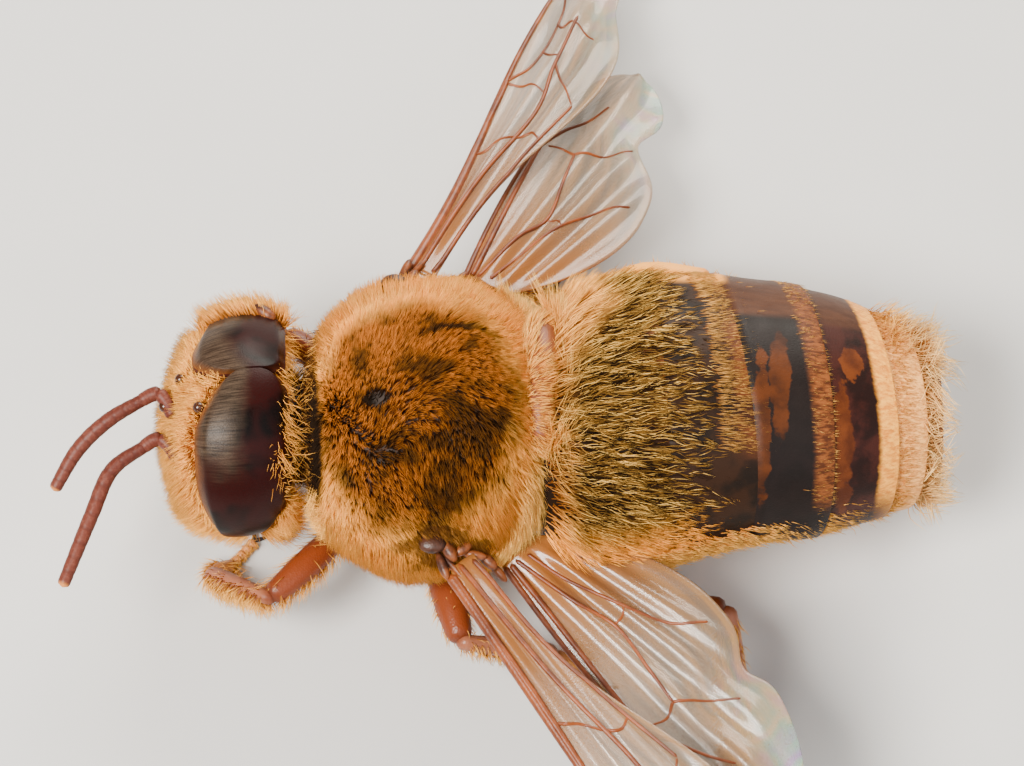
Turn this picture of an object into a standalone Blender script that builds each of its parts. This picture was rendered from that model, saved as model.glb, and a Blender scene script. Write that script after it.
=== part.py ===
"""Drone honey bee, life size, standing on six feet with its wings spread.

The head points to -X, the left side of the bee to -Y, and the floor is z = 0.  Sizes are in
millimetres until MM turns them into metres.  The solids reach to the tips of the coat, and
neighbouring solids keep a thin gap, so that each named part is a body of its own.
"""
import math

import bmesh
import bpy
import numpy as np

MM = 0.001
GAP = 0.03                      # clear space between neighbouring parts

# Where the body stands. The thorax centre is the reference for everything else.
ORIGIN_X = 0.149                # shifts the whole bee so that its box is centred on the origin
ORIGIN_Y = -0.263
THORAX_CENTRE = np.array([-1.66, 0.0, 3.65])
THORAX_HALF = np.array([2.60, 3.30, 2.85])

# Head: a thick disc seen from the front, widest behind the eyes.
HEAD_CENTRE = np.array([-5.52, 0.10, 3.35])
HEAD_ROLL = math.radians(9.0)   # crown leans to the right side
HEAD_YAW = math.radians(9.0)    # face turns to the left side
HEAD_PITCH = math.radians(6.0)  # face lifts
HEAD_FRONT = -1.62
HEAD_BACK = 0.92
HEAD_TALL = 0.97                # height over width, seen from the front
EYE_RADIUS = 2.34
EYE_THICKNESS = 0.50
EYE_CROWN_ANGLE = math.radians(0.5)
EYE_LOWER_ANGLE = math.radians(117.0)
EYE_HALF_LENGTH = 1.02          # half of the eye's size from front to back
EYE_FORWARD = -0.12             # the eye's middle lies this far behind the head centre
EYE_CROWN_SHIFT = 0.24          # the crown end lies further back than the middle
EYE_CHEEK_SHIFT = -0.14         # and the cheek end further forward

# Abdomen: rear rims of its rings, and its half width and half height along X.
RING_RIMS = (2.75, 4.38, 5.88, 7.20, 7.86)
RING_SKEW = (0.20, 0.44, 0.28, 0.28, 0.18)   # the left side of each rim lies further back
RIM_BULGE = 0.30                # the rims bow towards the tail along the back
STEP = 0.05                     # each ring's rear edge stands this proud of the next one
ABDOMEN_START = 0.62
ABDOMEN_END = 8.88
WIDTH_AT = ((0.62, 2.70), (1.10, 3.04), (1.7, 3.18), (2.7, 3.20), (4.9, 2.76), (6.1, 2.56),
            (7.2, 2.18), (7.9, 1.93), (8.45, 1.68), (8.88, 1.00))
HEIGHT_OVER_WIDTH = 0.84

FOREWING_LENGTH = 11.4
HINDWING_LENGTH = 7.9
WING_THICKNESS = 0.5
ANTENNA_RADIUS = 0.235


OCELLUS_RADIUS = 0.17
OCELLUS_DEPTH = 0.08
OCELLI = (("ocellus_middle", 0.0, 1.05), ("ocellus_left", -0.50, 1.45),
          ("ocellus_right", 0.50, 1.45))

# Antennae: socket, elbow, bend and tip.
ANTENNA = {
    "left": ((-6.50, -0.52, 3.50), (-6.96, -0.36, 3.88), (-8.10, -1.62, 3.75),
             (-8.78, -3.50, 3.60)),
    "right": ((-6.50, 0.22, 3.55), (-6.98, 0.56, 4.02), (-8.10, 0.02, 4.20),
              (-9.02, -1.38, 4.00)),
}

SCUTELLUM_CENTRE = np.array([0.56, 0.15, 5.10])
SCUTELLUM_HALF = np.array([0.52, 1.38, 0.66])

# Wings: root, direction from root to tip, pitch in degrees, lift of the tip, rear notches.
WINGS = {
    "left": {
        "forewing": ((-1.24, -2.90, 4.30), (0.585, -0.81, 0.04), 16, 0.0, ()),
        "hindwing": ((-0.14, -2.60, 3.70), (0.72, -0.694, -0.01), 4, 0.0,
                     ((0.66, 0.35, 0.06),)),
    },
    "right": {
        "forewing": ((-2.10, 2.80, 4.30), (0.385, 0.857, -0.334), 16, 0.3, ()),
        "hindwing": ((-0.84, 2.96, 3.70), (0.47, 0.80, -0.35), 4, 0.2,
                     ((0.75, 0.60, 0.085),)),
    },
}

# Each kind: length, front margin and rear margin (reach, peak, rise, fall), root half widths.
SHAPES = {
    "forewing": (FOREWING_LENGTH, (0.62, 0.62, 1.5, 2.2), (1.60, 0.66, 4.2, 1.8), 0.28, 0.40),
    "hindwing": (HINDWING_LENGTH, (0.90, 0.66, 1.0, 3.0), (2.10, 0.46, 0.8, 1.4), 0.25, 0.35),
}

# Legs: hip, thigh, knee, ankle and toe, radii of thigh, knee, shin's end and foot.
LEGS = {
    "leg_front_left": ((-3.25, -1.30, 1.75), (-4.12, -2.40, 2.20), (-4.84, -3.14, 2.35),
                       (-6.14, -2.19, 0.95), (-5.35, -1.15, 0.2), (0.38, 0.30, 0.34, 0.27)),
    "leg_front_right": ((-3.25, 1.30, 1.75), (-4.00, 2.10, 2.15), (-4.70, 2.60, 2.30),
                        (-5.90, 2.60, 0.95), (-6.60, 2.45, 0.2), (0.38, 0.30, 0.34, 0.27)),
    "leg_middle_left": ((-1.60, -1.60, 1.40), (-1.25, -3.05, 2.05), (-1.00, -4.03, 2.25),
                        (0.86, -3.85, 0.90), (1.85, -4.35, 0.2), (0.42, 0.32, 0.36, 0.27)),
    "leg_middle_right": ((-1.60, 1.60, 1.40), (-1.30, 2.95, 2.05), (-1.00, 3.80, 2.25),
                         (0.40, 4.20, 0.90), (0.90, 4.50, 0.2), (0.42, 0.32, 0.36, 0.27)),
    "leg_hind_left": ((0.20, -1.60, 1.40), (2.40, -3.20, 2.20), (4.26, -3.50, 2.65),
                      (4.50, -5.60, 0.95), (4.10, -7.00, 0.2), (0.44, 0.34, 0.46, 0.36)),
    "leg_hind_right": ((0.20, 1.80, 1.40), (2.30, 3.72, 2.12), (4.12, 3.66, 2.60),
                       (4.90, 3.75, 0.95), (5.50, 4.20, 0.2), (0.44, 0.33, 0.44, 0.34)),
}


# ---------------------------------------------------------------- helpers

def clear_scene():
    for item in list(bpy.data.objects):
        bpy.data.objects.remove(item, do_unlink=True)


def finish(name, colour, roughness, metallic=0.0):
    """A Principled material with one colour."""
    material = bpy.data.materials.new(name)
    material.use_nodes = True
    shader = material.node_tree.nodes["Principled BSDF"]
    shader.inputs["Base Color"].default_value = (*colour, 1.0)
    shader.inputs["Roughness"].default_value = roughness
    shader.inputs["Metallic"].default_value = metallic
    return material


def smoothstep(x):
    x = np.clip(x, 0.0, 1.0)
    return x * x * (3.0 - 2.0 * x)


def unit(vector):
    vector = np.asarray(vector, dtype=float)
    return vector / np.linalg.norm(vector)


def turn(axis, angle):
    """Rotation matrix about one axis: 0 is X, 1 is Y, 2 is Z."""
    a, b = [(1, 2), (2, 0), (0, 1)][axis]
    matrix = np.eye(3)
    matrix[a, a] = matrix[b, b] = math.cos(angle)
    matrix[a, b] = -math.sin(angle)
    matrix[b, a] = math.sin(angle)
    return matrix


def smooth_curve(points, count):
    """Even steps along a Catmull-Rom curve through the points, rows of any width."""
    points = np.asarray(points, dtype=float)
    padded = np.vstack([2 * points[0] - points[1], points, 2 * points[-1] - points[-2]])
    steps = np.linspace(0.0, len(points) - 1, count)
    index = np.minimum(steps.astype(int), len(points) - 2)
    t = (steps - index)[:, None]
    before, start, end, after = (padded[index + shift] for shift in range(4))
    return 0.5 * (2 * start + (end - before) * t
                  + (2 * before - 5 * start + 4 * end - after) * t ** 2
                  + (3 * start - before - 3 * end + after) * t ** 3)


def add_object(name, points, faces, material):
    """One object from points in millimetres, with its faces turned outwards."""
    placed = (np.asarray(points, dtype=float) + (ORIGIN_X, ORIGIN_Y, 0.0)) * MM
    mesh = bpy.data.meshes.new(name)
    mesh.from_pydata(placed.tolist(), [], faces)
    shape = bmesh.new()
    shape.from_mesh(mesh)
    bmesh.ops.recalc_face_normals(shape, faces=shape.faces)
    shape.to_mesh(mesh)
    shape.free()
    mesh.shade_smooth()
    mesh.set_sharp_from_angle(angle=math.radians(50.0))
    if material:
        mesh.materials.append(material)
    item = bpy.data.objects.new(name, mesh)
    bpy.context.scene.collection.objects.link(item)
    return item


def from_rings(name, rings, material):
    """A closed body: rings of equal size joined in order, with a fan over each end."""
    rings = np.asarray(rings)
    count, sides = rings.shape[:2]
    points = np.vstack([rings.reshape(-1, 3), rings[0].mean(0), rings[-1].mean(0)])
    first, last = count * sides, count * sides + 1
    faces = []
    for i in range(sides):
        j = (i + 1) % sides
        faces += [(k * sides + i, k * sides + j, (k + 1) * sides + j, (k + 1) * sides + i)
                  for k in range(count - 1)]
        faces.append((first, j, i))
        faces.append((last, (count - 1) * sides + i, (count - 1) * sides + j))
    return add_object(name, points, faces, material)


def from_sheets(name, top, bottom, material):
    """A closed plate between two grids of the same size."""
    rows, columns = top.shape[:2]
    half = rows * columns
    points = np.vstack([top.reshape(-1, 3), bottom.reshape(-1, 3)])
    faces = []
    for i in range(rows - 1):
        for j in range(columns - 1):
            quad = [i * columns + j, (i + 1) * columns + j,
                    (i + 1) * columns + j + 1, i * columns + j + 1]
            faces.append(quad)
            faces.append([half + k for k in reversed(quad)])
    border = [i * columns for i in range(rows)]
    border += [(rows - 1) * columns + j for j in range(1, columns)]
    border += [i * columns + columns - 1 for i in range(rows - 2, -1, -1)]
    border += [j for j in range(columns - 2, 0, -1)]
    for a, b in zip(border, border[1:] + border[:1]):
        faces.append((a, b, half + b, half + a))
    return add_object(name, points, faces, material)


def ellipsoid(name, centre, half, material, matrix=None, rings=12, sides=20):
    """An ellipsoid whose poles lie along X."""
    along = np.linspace(0.0, math.pi, rings + 2)[1:-1, None]
    around = np.linspace(0.0, 2 * math.pi, sides, endpoint=False)[None, :]
    shape = np.stack([-np.cos(along) + 0 * around, np.sin(along) * np.cos(around),
                      np.sin(along) * np.sin(around)], axis=-1) * half
    if matrix is not None:
        shape = shape @ np.asarray(matrix).T
    return from_rings(name, shape + centre, material)


def limb(name, points, radii, material, flat=1.0, reference=(0, 0, 1), sides=7, steps=8,
         floor=None):
    """A rounded bar through the points.  flat squeezes it along the reference direction,
    and floor cuts a level sole into it."""
    table = smooth_curve(np.column_stack([points, radii]), steps)
    path, radius = table[:, :3], table[:, 3]
    along = np.gradient(path, axis=0)
    along /= np.linalg.norm(along, axis=1)[:, None]
    side = np.cross(along, reference)
    side /= np.linalg.norm(side, axis=1)[:, None]
    up = np.cross(side, along)
    around = np.linspace(0.0, 2 * math.pi, sides, endpoint=False) + math.pi / sides
    circle = (np.cos(around)[None, :, None] * side[:, None, :]
              + flat * np.sin(around)[None, :, None] * up[:, None, :])
    rings = path[:, None, :] + radius[:, None, None] * circle
    tip = 0.55
    start = path[0] - along[0] * radius[0] * tip + tip * radius[0] * circle[0]
    end = path[-1] + along[-1] * radius[-1] * tip + tip * radius[-1] * circle[-1]
    rings = np.concatenate([start[None], rings, end[None]])
    if floor is not None:
        rings[..., 2] = np.maximum(rings[..., 2], floor)
    return from_rings(name, rings, material)


def hidden(cutter):
    cutter.hide_render = True
    cutter.display_type = "WIRE"
    return cutter


def cut(item, *cutters):
    for cutter in cutters:
        modifier = item.modifiers.new("cut by " + cutter.name, "BOOLEAN")
        modifier.operation = "DIFFERENCE"
        modifier.object = cutter
    return item


# ---------------------------------------------------------------- thorax and abdomen

def thorax_rings(grow):
    """The thorax is an egg, flatter in front and fuller behind."""
    along = np.linspace(0.0, math.pi, 15)[1:-1, None]
    around = np.linspace(0.0, 2 * math.pi, 22, endpoint=False)[None, :]
    bulk = np.sin(along) ** 0.60
    x = -np.cos(along) + 0 * around
    y = bulk * np.cos(around)
    z = bulk * np.sin(around) * (1.0 - 0.10 * np.cos(along))
    shape = np.stack([x, y, z], axis=-1) * (THORAX_HALF + grow)
    return shape + THORAX_CENTRE


def abdomen_axis(x):
    """Centre of the abdomen: it swings a little to the right and droops to the tail."""
    y = 0.40 * smoothstep((x - 0.2) / 4.0) + 0.02 * (x - 4.0)
    z = 3.50 - 0.035 * np.maximum(x - 4.0, 0.0) ** 2
    return y, z


def abdomen_width(x):
    table = np.array(WIDTH_AT)
    fine = smooth_curve(table, 60)
    return np.interp(x, fine[:, 0], fine[:, 1])


def rim(number, y, z):
    """Rear rim of a ring: skewed, and bowed to the tail along the back."""
    if number < 0:
        return ABDOMEN_START + 0 * y
    if number >= len(RING_RIMS):
        return ABDOMEN_END + 0 * y
    return RING_RIMS[number] - RING_SKEW[number] * y + RIM_BULGE * z


def abdomen_ring(name, number, material, grow=0.0):
    """One ring of the abdomen between two rims.  Its end faces are dished like the rims."""
    around = np.linspace(0.0, 2 * math.pi, 24, endpoint=False)
    y, z = np.cos(around), np.sin(around)
    front = rim(number - 1, y, z) + (GAP if number else 0.0)
    back = rim(number, y, z)
    rings = []
    for share in (0.5, 1.0):
        rings.append((front, share, 0.0))
    for part in (0.35, 0.7, 0.96):
        rings.append((front + (back - front) * part, 1.0, STEP * part))
    rings += [(back, 1.0, 0.0), (back, 0.5, 0.0)]
    shape = []
    for x, share, lift in rings:
        centre_y, centre_z = abdomen_axis(x)
        half = abdomen_width(x) + lift + grow
        if share < 1.0:
            middle = x.mean()
            x = middle + (x - middle) * share
        shape.append(np.stack([x, centre_y + half * share * y,
                               centre_z + half * share * HEIGHT_OVER_WIDTH * z], axis=-1))
    return from_rings(name, shape, material)


def abdomen_cutter():
    """The whole abdomen, grown by the gap, which trims the legs and wings beside it."""
    around = np.linspace(0.0, 2 * math.pi, 24, endpoint=False)
    shape = []
    for x in np.linspace(ABDOMEN_START - GAP, ABDOMEN_END, 12):
        centre_y, centre_z = abdomen_axis(x)
        half = abdomen_width(x) + STEP + 2 * GAP
        shape.append(np.stack([x + 0 * around, centre_y + half * np.cos(around),
                               centre_z + half * HEIGHT_OVER_WIDTH * np.sin(around)], axis=-1))
    return hidden(from_rings("cutter_abdomen", shape, None))


# ---------------------------------------------------------------- head

def head_matrix():
    return turn(0, -HEAD_ROLL) @ turn(2, HEAD_YAW) @ turn(1, HEAD_PITCH)


def on_head(points):
    """From the head's own frame to the bee's."""
    return np.asarray(points) @ head_matrix().T + HEAD_CENTRE


HEAD_PROFILE = ((HEAD_FRONT, 0.45), (-1.50, 0.92), (-1.28, 1.38), (-1.0, 1.74), (-0.6, 2.03),
                (0.0, 2.18), (0.40, 2.32), (0.66, 2.50), (0.82, 2.40), (HEAD_BACK, 1.7))


def head_rings(grow=0.0):
    """Turned profile: radius by distance along the head's axis, a little less tall than wide."""
    table = smooth_curve(HEAD_PROFILE, 14)
    around = np.linspace(0.0, 2 * math.pi, 26, endpoint=False)
    shape = []
    for x, radius in table:
        radius = radius + grow
        drop = -0.12 * (radius / 2.3) * (np.sin(around) < 0) * np.sin(around) ** 2
        shape.append(np.stack([x + 0 * around, radius * np.cos(around),
                               radius * HEAD_TALL * np.sin(around) + drop], axis=-1))
    return on_head(np.array(shape))


def eye_sheet(side, depth, margin=0.0, rows=14, columns=8):
    """A compound eye on the head: it runs round from the crown to the cheek.
    side is -1 for the left eye.  depth is how far the sheet lies under the eye's surface."""
    s = np.linspace(-1.0, 1.0, rows)[:, None]
    t = np.linspace(-1.0, 1.0, columns)[None, :]
    sharpness = np.where(s < 0, 3.2, 2.2)
    width = EYE_HALF_LENGTH * np.maximum(1.0 - np.abs(s * 0.985) ** sharpness, 0.0) ** (1 / sharpness)
    width = width * (1.0 - 0.04 * s) + margin
    edge = margin / EYE_RADIUS
    middle = (EYE_CROWN_ANGLE + EYE_LOWER_ANGLE) / 2
    half_angle = (EYE_LOWER_ANGLE - EYE_CROWN_ANGLE) / 2 + edge
    angle = middle + half_angle * s
    x = EYE_FORWARD + EYE_CROWN_SHIFT * smoothstep((-s - 0.2) / 0.8) + width * t
    x = x + EYE_CHEEK_SHIFT * smoothstep(s)
    bow = t * width / EYE_HALF_LENGTH
    radius = EYE_RADIUS - 0.34 * bow ** 2 - depth
    radius = radius - 0.16 * smoothstep((s - 0.55) / 0.45)
    y = side * radius * np.sin(angle)
    z = radius * np.cos(angle) * HEAD_TALL
    return on_head(np.stack([x + 0 * y, y, z], axis=-1))


def eye(name, side, material):
    return from_sheets(name, eye_sheet(side, 0.0), eye_sheet(side, EYE_THICKNESS), material)


def eye_pocket(name, side):
    return hidden(from_sheets(name, eye_sheet(side, -0.8, GAP + 0.01),
                              eye_sheet(side, EYE_THICKNESS + GAP, GAP + 0.01), None))


# ---------------------------------------------------------------- wings

def hump(t, peak, rise, fall):
    """0 at both ends and 1 at the peak: a sine rise and an elliptic fall."""
    climb = np.sin(math.pi / 2 * np.clip(t / peak, 0, 1)) ** rise
    drop = np.maximum(1.0 - np.clip((t - peak) / (1 - peak), 0, 1) ** fall, 0.0) ** 0.5
    return np.where(t < peak, climb, drop)


def wing(name, root, along, pitch, length, front, back, lift, notches, material,
         front_root=0.25, back_root=0.3):
    """A flat wing solid.  along points from root to tip, pitch raises the rear edge, front and
    back are (reach, peak, rise, fall) of the two margins, lift bends the tip up, and notches
    are dips (place, depth) in the rear margin."""
    along = unit(along)
    across = unit(np.cross(along, (0, 0, 1)))
    if across[0] < 0:
        across = -across
    above = np.cross(across, along)
    if above[2] < 0:
        above = -above
    across, above = (math.cos(pitch) * across + math.sin(pitch) * above,
                     math.cos(pitch) * above - math.sin(pitch) * across)
    t = (1.0 - (1.0 - np.linspace(0.0, 0.99, 15)) ** 1.35)[:, None]
    b = np.linspace(0.0, 1.0, 6)[None, :]
    lead = -front_root - (front[0] - front_root) * hump(t, *front[1:])
    lead = np.where(t > front[1], -front[0] * hump(t, *front[1:]), lead)
    trail = back_root + (back[0] - back_root) * hump(t, *back[1:])
    trail = np.where(t > back[1], back[0] * hump(t, *back[1:]), trail)
    for place, depth, spread in notches:
        trail = trail - depth * np.exp(-((t - place) / spread) ** 2)
    v = lead + (trail - lead) * b
    middle = (np.asarray(root) + (t * length)[..., None] * along + v[..., None] * across
              + (0.10 * np.sin(math.pi * b) + 0 * t)[..., None] * above)
    middle[..., 2] += lift * t ** 2
    half = above * WING_THICKNESS / 2
    return from_sheets(name, middle + half, middle - half, material)


# ---------------------------------------------------------------- legs

def leg(name, hip, thigh, knee, ankle, toe, thick, materials, cutters):
    """Femur, tibia and foot.  Each lower piece is hollowed where it meets the one above."""
    hip, thigh, knee, ankle, toe = (np.array(place) for place in (hip, thigh, knee, ankle, toe))
    thigh_radius, knee_radius, shin_radius, foot_radius = thick
    femur_path = [hip, thigh, knee - unit(knee - thigh) * 0.12]
    femur_radii = np.array([thigh_radius * 0.9, thigh_radius, knee_radius])
    down = unit(ankle - knee)
    tibia_path = [knee + down * 0.15, (knee + ankle) / 2, ankle - down * 0.12]
    tibia_radii = np.array([knee_radius * 0.85, (knee_radius + shin_radius) / 2, shin_radius])
    begin = ankle + down * 0.12
    heel = begin + (toe - begin) * 0.45
    heel[2] = 0.20
    foot_radii = np.array([foot_radius, foot_radius * 0.95, foot_radius * 0.85])
    lean = (0.3, 1.0, 0.2)

    femur = limb(name + "_femur", femur_path, femur_radii, materials[0], steps=6)
    cut(femur, *cutters)
    tibia = limb(name + "_tibia", tibia_path, tibia_radii, materials[1], reference=lean, steps=5)
    cut(tibia, hidden(limb("cutter_femur_" + name, femur_path, femur_radii + GAP, None, steps=6)))
    foot = limb(name + "_foot", [begin, heel, toe], foot_radii, materials[2], steps=6, floor=0.0)
    cut(foot, hidden(limb("cutter_tibia_" + name, tibia_path, tibia_radii + GAP, None,
                          reference=lean, steps=5)))


# ---------------------------------------------------------------- the bee

def build():
    clear_scene()
    coat = finish("ochre coat", (0.33, 0.17, 0.055), 0.9)
    pale = finish("pale coat", (0.60, 0.38, 0.15), 0.9)
    shell = finish("dark shell", (0.05, 0.022, 0.012), 0.35)
    amber = finish("amber shell", (0.36, 0.12, 0.035), 0.3)
    eye_brown = finish("eye", (0.03, 0.009, 0.006), 0.12)
    horn = finish("antenna", (0.30, 0.10, 0.07), 0.5)
    membrane = finish("wing", (0.50, 0.42, 0.30), 0.25)

    thorax_cutter = hidden(from_rings("cutter_thorax", thorax_rings(GAP), None))
    abdomen_trim = abdomen_cutter()
    from_rings("thorax", thorax_rings(0.0), coat)
    build_head(pale, eye_brown, amber, horn, thorax_cutter)
    build_abdomen(coat, shell, amber, pale, thorax_cutter)
    build_wings(membrane, shell, thorax_cutter, abdomen_trim)
    build_legs(pale, amber, thorax_cutter, abdomen_trim)


def build_head(pale, eye_brown, amber, horn, thorax_cutter):
    head = from_rings("head", head_rings(), pale)
    cut(head, eye_pocket("cutter_eye_left", -1), eye_pocket("cutter_eye_right", 1))
    eye("eye_left", -1, eye_brown)
    eye("eye_right", 1, eye_brown)
    build_neck(amber, thorax_cutter)
    head_cutter = hidden(from_rings("cutter_head", head_rings(GAP), None))
    for name, y, z in OCELLI:
        front = np.interp(math.hypot(y, z), *reversed(np.array(HEAD_PROFILE[:6]).T))
        centre = on_head((front + OCELLUS_DEPTH, y, z))
        bead = ellipsoid(name, centre, np.full(3, OCELLUS_RADIUS), horn, rings=5, sides=8)
        cut(bead, head_cutter)
    for name, side in (("left", -1), ("right", 1)):
        build_antenna(name, horn)
        jaw = np.array([[-0.50, 0.72 * side, -2.15], [-0.72, 0.52 * side, -2.42],
                        [-0.85, 0.20 * side, -2.52]])
        cut(limb("mandible_" + name, on_head(jaw), [0.30, 0.27, 0.16], amber, flat=0.7, steps=5),
            head_cutter)
    tongue = np.array([[-0.25, 0.0, -2.30], [0.15, 0.0, -2.62], [0.85, 0.0, -2.50]])
    cut(limb("proboscis", on_head(tongue), [0.34, 0.30, 0.20], amber, flat=0.6, steps=6),
        head_cutter)


def build_neck(amber, thorax_cutter):
    """A short stalk from the back of the head into the front of the thorax."""
    head_cutter = hidden(from_rings("cutter_head_back", head_rings(GAP), None))
    start = on_head((HEAD_BACK - 0.35, 0.0, 0.1))
    end = THORAX_CENTRE - (THORAX_HALF[0] - 0.5, 0.0, 0.0)
    neck = limb("neck", [start, (start + end) / 2, end], [0.95, 0.95, 1.0], amber,
                sides=12, steps=3)
    cut(neck, head_cutter, thorax_cutter)


def build_antenna(name, horn):
    """Scape, pedicel and a bent flagellum, each a little clear of the next."""
    socket, elbow, reach, tip = (np.array(place) for place in ANTENNA[name])
    radius = ANTENNA_RADIUS
    scape_end = elbow - unit(elbow - socket) * 0.10
    stem = [socket, (socket + scape_end) / 2, scape_end]
    radii = np.array([0.95, 1.0, 1.0]) * radius
    limb("scape_" + name, stem, radii, horn, steps=4, sides=7)
    hole = limb("cutter_scape_" + name, stem, radii + GAP, None, steps=4, sides=7)
    cut(bpy.data.objects["head"], hidden(hole))
    heading = unit(reach - elbow)
    first = elbow + heading * (radius * 1.2 + 0.02)
    bend = elbow + heading * 0.55
    limb("pedicel_" + name, [first, first + heading * 0.2], [radius, radius], horn,
         steps=3, sides=7)
    begin = first + heading * (0.2 + 1.1 * radius + GAP)
    limb("flagellum_" + name, [begin, (bend + reach) / 2, reach, tip],
         [radius * 0.95, radius, radius, radius * 0.85], horn, steps=12, sides=7)


def build_abdomen(coat, shell, amber, pale, thorax_cutter):
    names = ("abdomen_1", "abdomen_2", "abdomen_3", "abdomen_4", "abdomen_5", "tail")
    skins = (coat, coat, shell, shell, amber, pale)
    for number, (name, skin) in enumerate(zip(names, skins)):
        ring = abdomen_ring(name, number, skin)
        if number == 0:
            cut(ring, thorax_cutter)
    plate = ellipsoid("scutellum", SCUTELLUM_CENTRE, SCUTELLUM_HALF, amber, rings=9, sides=16)
    cut(plate, thorax_cutter)
    ring_cutter = hidden(abdomen_ring("cutter_abdomen_1", 0, None, GAP))
    cut(plate, ring_cutter)


def build_wings(membrane, shell, thorax_cutter, abdomen_trim):
    for name, wings in WINGS.items():
        for kind, (root, along, pitch, lift, notches) in wings.items():
            length, front, back, front_root, back_root = SHAPES[kind]
            item = wing(kind + "_" + name, root, along, math.radians(pitch), length, front, back,
                        lift, notches, membrane, front_root, back_root)
            cut(item, thorax_cutter, abdomen_trim)
        root = np.array(wings["forewing"][0])
        side = np.sign(root[1])
        cap = ellipsoid("tegula_" + name, root + (-0.42, -0.10 * side, 0.50),
                        np.array([0.42, 0.40, 0.20]), shell, rings=5, sides=10)
        cut(cap, thorax_cutter)


def build_legs(pale, amber, thorax_cutter, abdomen_trim):
    for name, (*places, thick) in LEGS.items():
        leg(name, *places, thick, (amber, amber, pale), (thorax_cutter, abdomen_trim))


build()
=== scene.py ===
# %% [markdown]
# # A drone honey bee, dressed
#
# The solids of the bee are already in place: head, thorax, abdomen rings, legs and wings at
# their real size, a bee of 15 mm.  This lesson gives them their looks.  The first cell loads
# those solids as a fixed frame and gives a way to read a solid's box.

# %% Load the frame
import math

import bpy
import numpy as np
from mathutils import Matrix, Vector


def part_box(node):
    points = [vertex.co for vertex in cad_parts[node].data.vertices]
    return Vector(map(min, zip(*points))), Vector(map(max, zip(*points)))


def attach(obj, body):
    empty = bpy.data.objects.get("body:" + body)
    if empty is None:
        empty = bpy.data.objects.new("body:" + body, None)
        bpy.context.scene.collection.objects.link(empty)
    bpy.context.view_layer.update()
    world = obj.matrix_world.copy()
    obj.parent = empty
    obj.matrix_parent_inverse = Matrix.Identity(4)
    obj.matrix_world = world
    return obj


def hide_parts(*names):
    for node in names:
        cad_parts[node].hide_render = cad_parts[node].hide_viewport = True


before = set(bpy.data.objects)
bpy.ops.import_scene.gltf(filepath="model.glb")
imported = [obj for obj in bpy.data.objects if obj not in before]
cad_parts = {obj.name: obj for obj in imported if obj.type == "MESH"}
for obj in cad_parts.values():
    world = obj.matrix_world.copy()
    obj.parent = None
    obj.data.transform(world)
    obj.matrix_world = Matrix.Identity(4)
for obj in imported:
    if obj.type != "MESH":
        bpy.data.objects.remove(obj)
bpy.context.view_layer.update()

# %% [markdown]
# ## Units and landmarks
#
# A bee is easier to think about in millimetres, so sizes below are in millimetres and become
# metres only when a mesh is written.  The tail points to +X, the bee's left side to -Y.  The
# bee was modelled with its thorax centre at (-1.66, 0, 3.65); the box of the thorax solid says
# where that point stands now, and `ORIGIN` carries everything else with it.  The roots of the
# two forewings are needed twice, for the hinges and for the wings.

# %% Landmarks
MM = 0.001
THORAX_CENTRE = np.array([-1.66, 0.0, 3.65])
THORAX_HALF = np.array([2.60, 3.30, 2.85])
low, high = (np.array(corner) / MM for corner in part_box("thorax"))
ORIGIN = (low + high) / 2 - THORAX_CENTRE
WING_ROOTS = {"left": (-1.24, -2.90, 4.30), "right": (-2.05, 2.79, 4.30)}
print("thorax", (high - low).round(2), "mm, origin", ORIGIN.round(3))

# %% [markdown]
# ## Three helpers
#
# A soft step, vectors of length one and a turn about an axis come back in nearly every shape.
# numpy works on whole arrays, so each of them takes one number or a million.

# %% Small helpers
def smooth(x, low=0.0, high=1.0):
    """0 below low, 1 above high, and the S-shaped 3x^2 - 2x^3 in between."""
    x = np.clip((np.asarray(x, dtype=float) - low) / (high - low), 0.0, 1.0)
    return x * x * (3.0 - 2.0 * x)


def unit(vectors):
    """Each vector divided by its own length."""
    vectors = np.asarray(vectors, dtype=float)
    return vectors / np.maximum(np.linalg.norm(vectors, axis=-1, keepdims=True), 1e-12)


def turn(axis, degrees):
    """Rotation matrix about X (0), Y (1) or Z (2)."""
    angle = math.radians(degrees)
    a, b = [(1, 2), (2, 0), (0, 1)][axis]
    matrix = np.eye(3)
    matrix[a, a] = matrix[b, b] = math.cos(angle)
    matrix[a, b] = -math.sin(angle)
    matrix[b, a] = math.sin(angle)
    return matrix


print("halfway up the step:", float(smooth(0.5)), " X turned about Z:",
      (turn(2, 90.0) @ (1, 0, 0)).round(3).tolist())

# %% [markdown]
# ## Small curve tools
#
# Nearly every part of an insect is a tube that swells and shrinks: a leg, a feeler, an abdomen.
# `smooth_curve` draws an even Catmull-Rom curve through a few rows of numbers, which may be
# points, radii, or both at once.  `rounded_tube` sweeps an oval along such a path.  It returns a
# function of two numbers: u runs from 0 to 1 along the tube and v from 0 to 1 around it.  The
# same function later tells the hairs where the skin is.

# %% Curve tools
def smooth_curve(points, count):
    """Catmull-Rom: between two points, a cubic whose end slopes are half the step across."""
    points = np.asarray(points, dtype=float)
    padded = np.vstack([2 * points[0] - points[1], points, 2 * points[-1] - points[-2]])
    steps = np.linspace(0.0, len(points) - 1, count)
    index = np.minimum(steps.astype(int), len(points) - 2)
    t = (steps - index)[:, None]
    a, b, c, d = (padded[index + shift] for shift in range(4))
    return 0.5 * (2 * b + (c - a) * t + (2 * a - 5 * b + 4 * c - d) * t ** 2
                  + (3 * b - a - 3 * c + d) * t ** 3)


def look_up(table, x):
    """A smooth curve through (place, size) rows, read at x."""
    fine = smooth_curve(table, 120)
    return np.interp(x, fine[:, 0], fine[:, 1])


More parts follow.
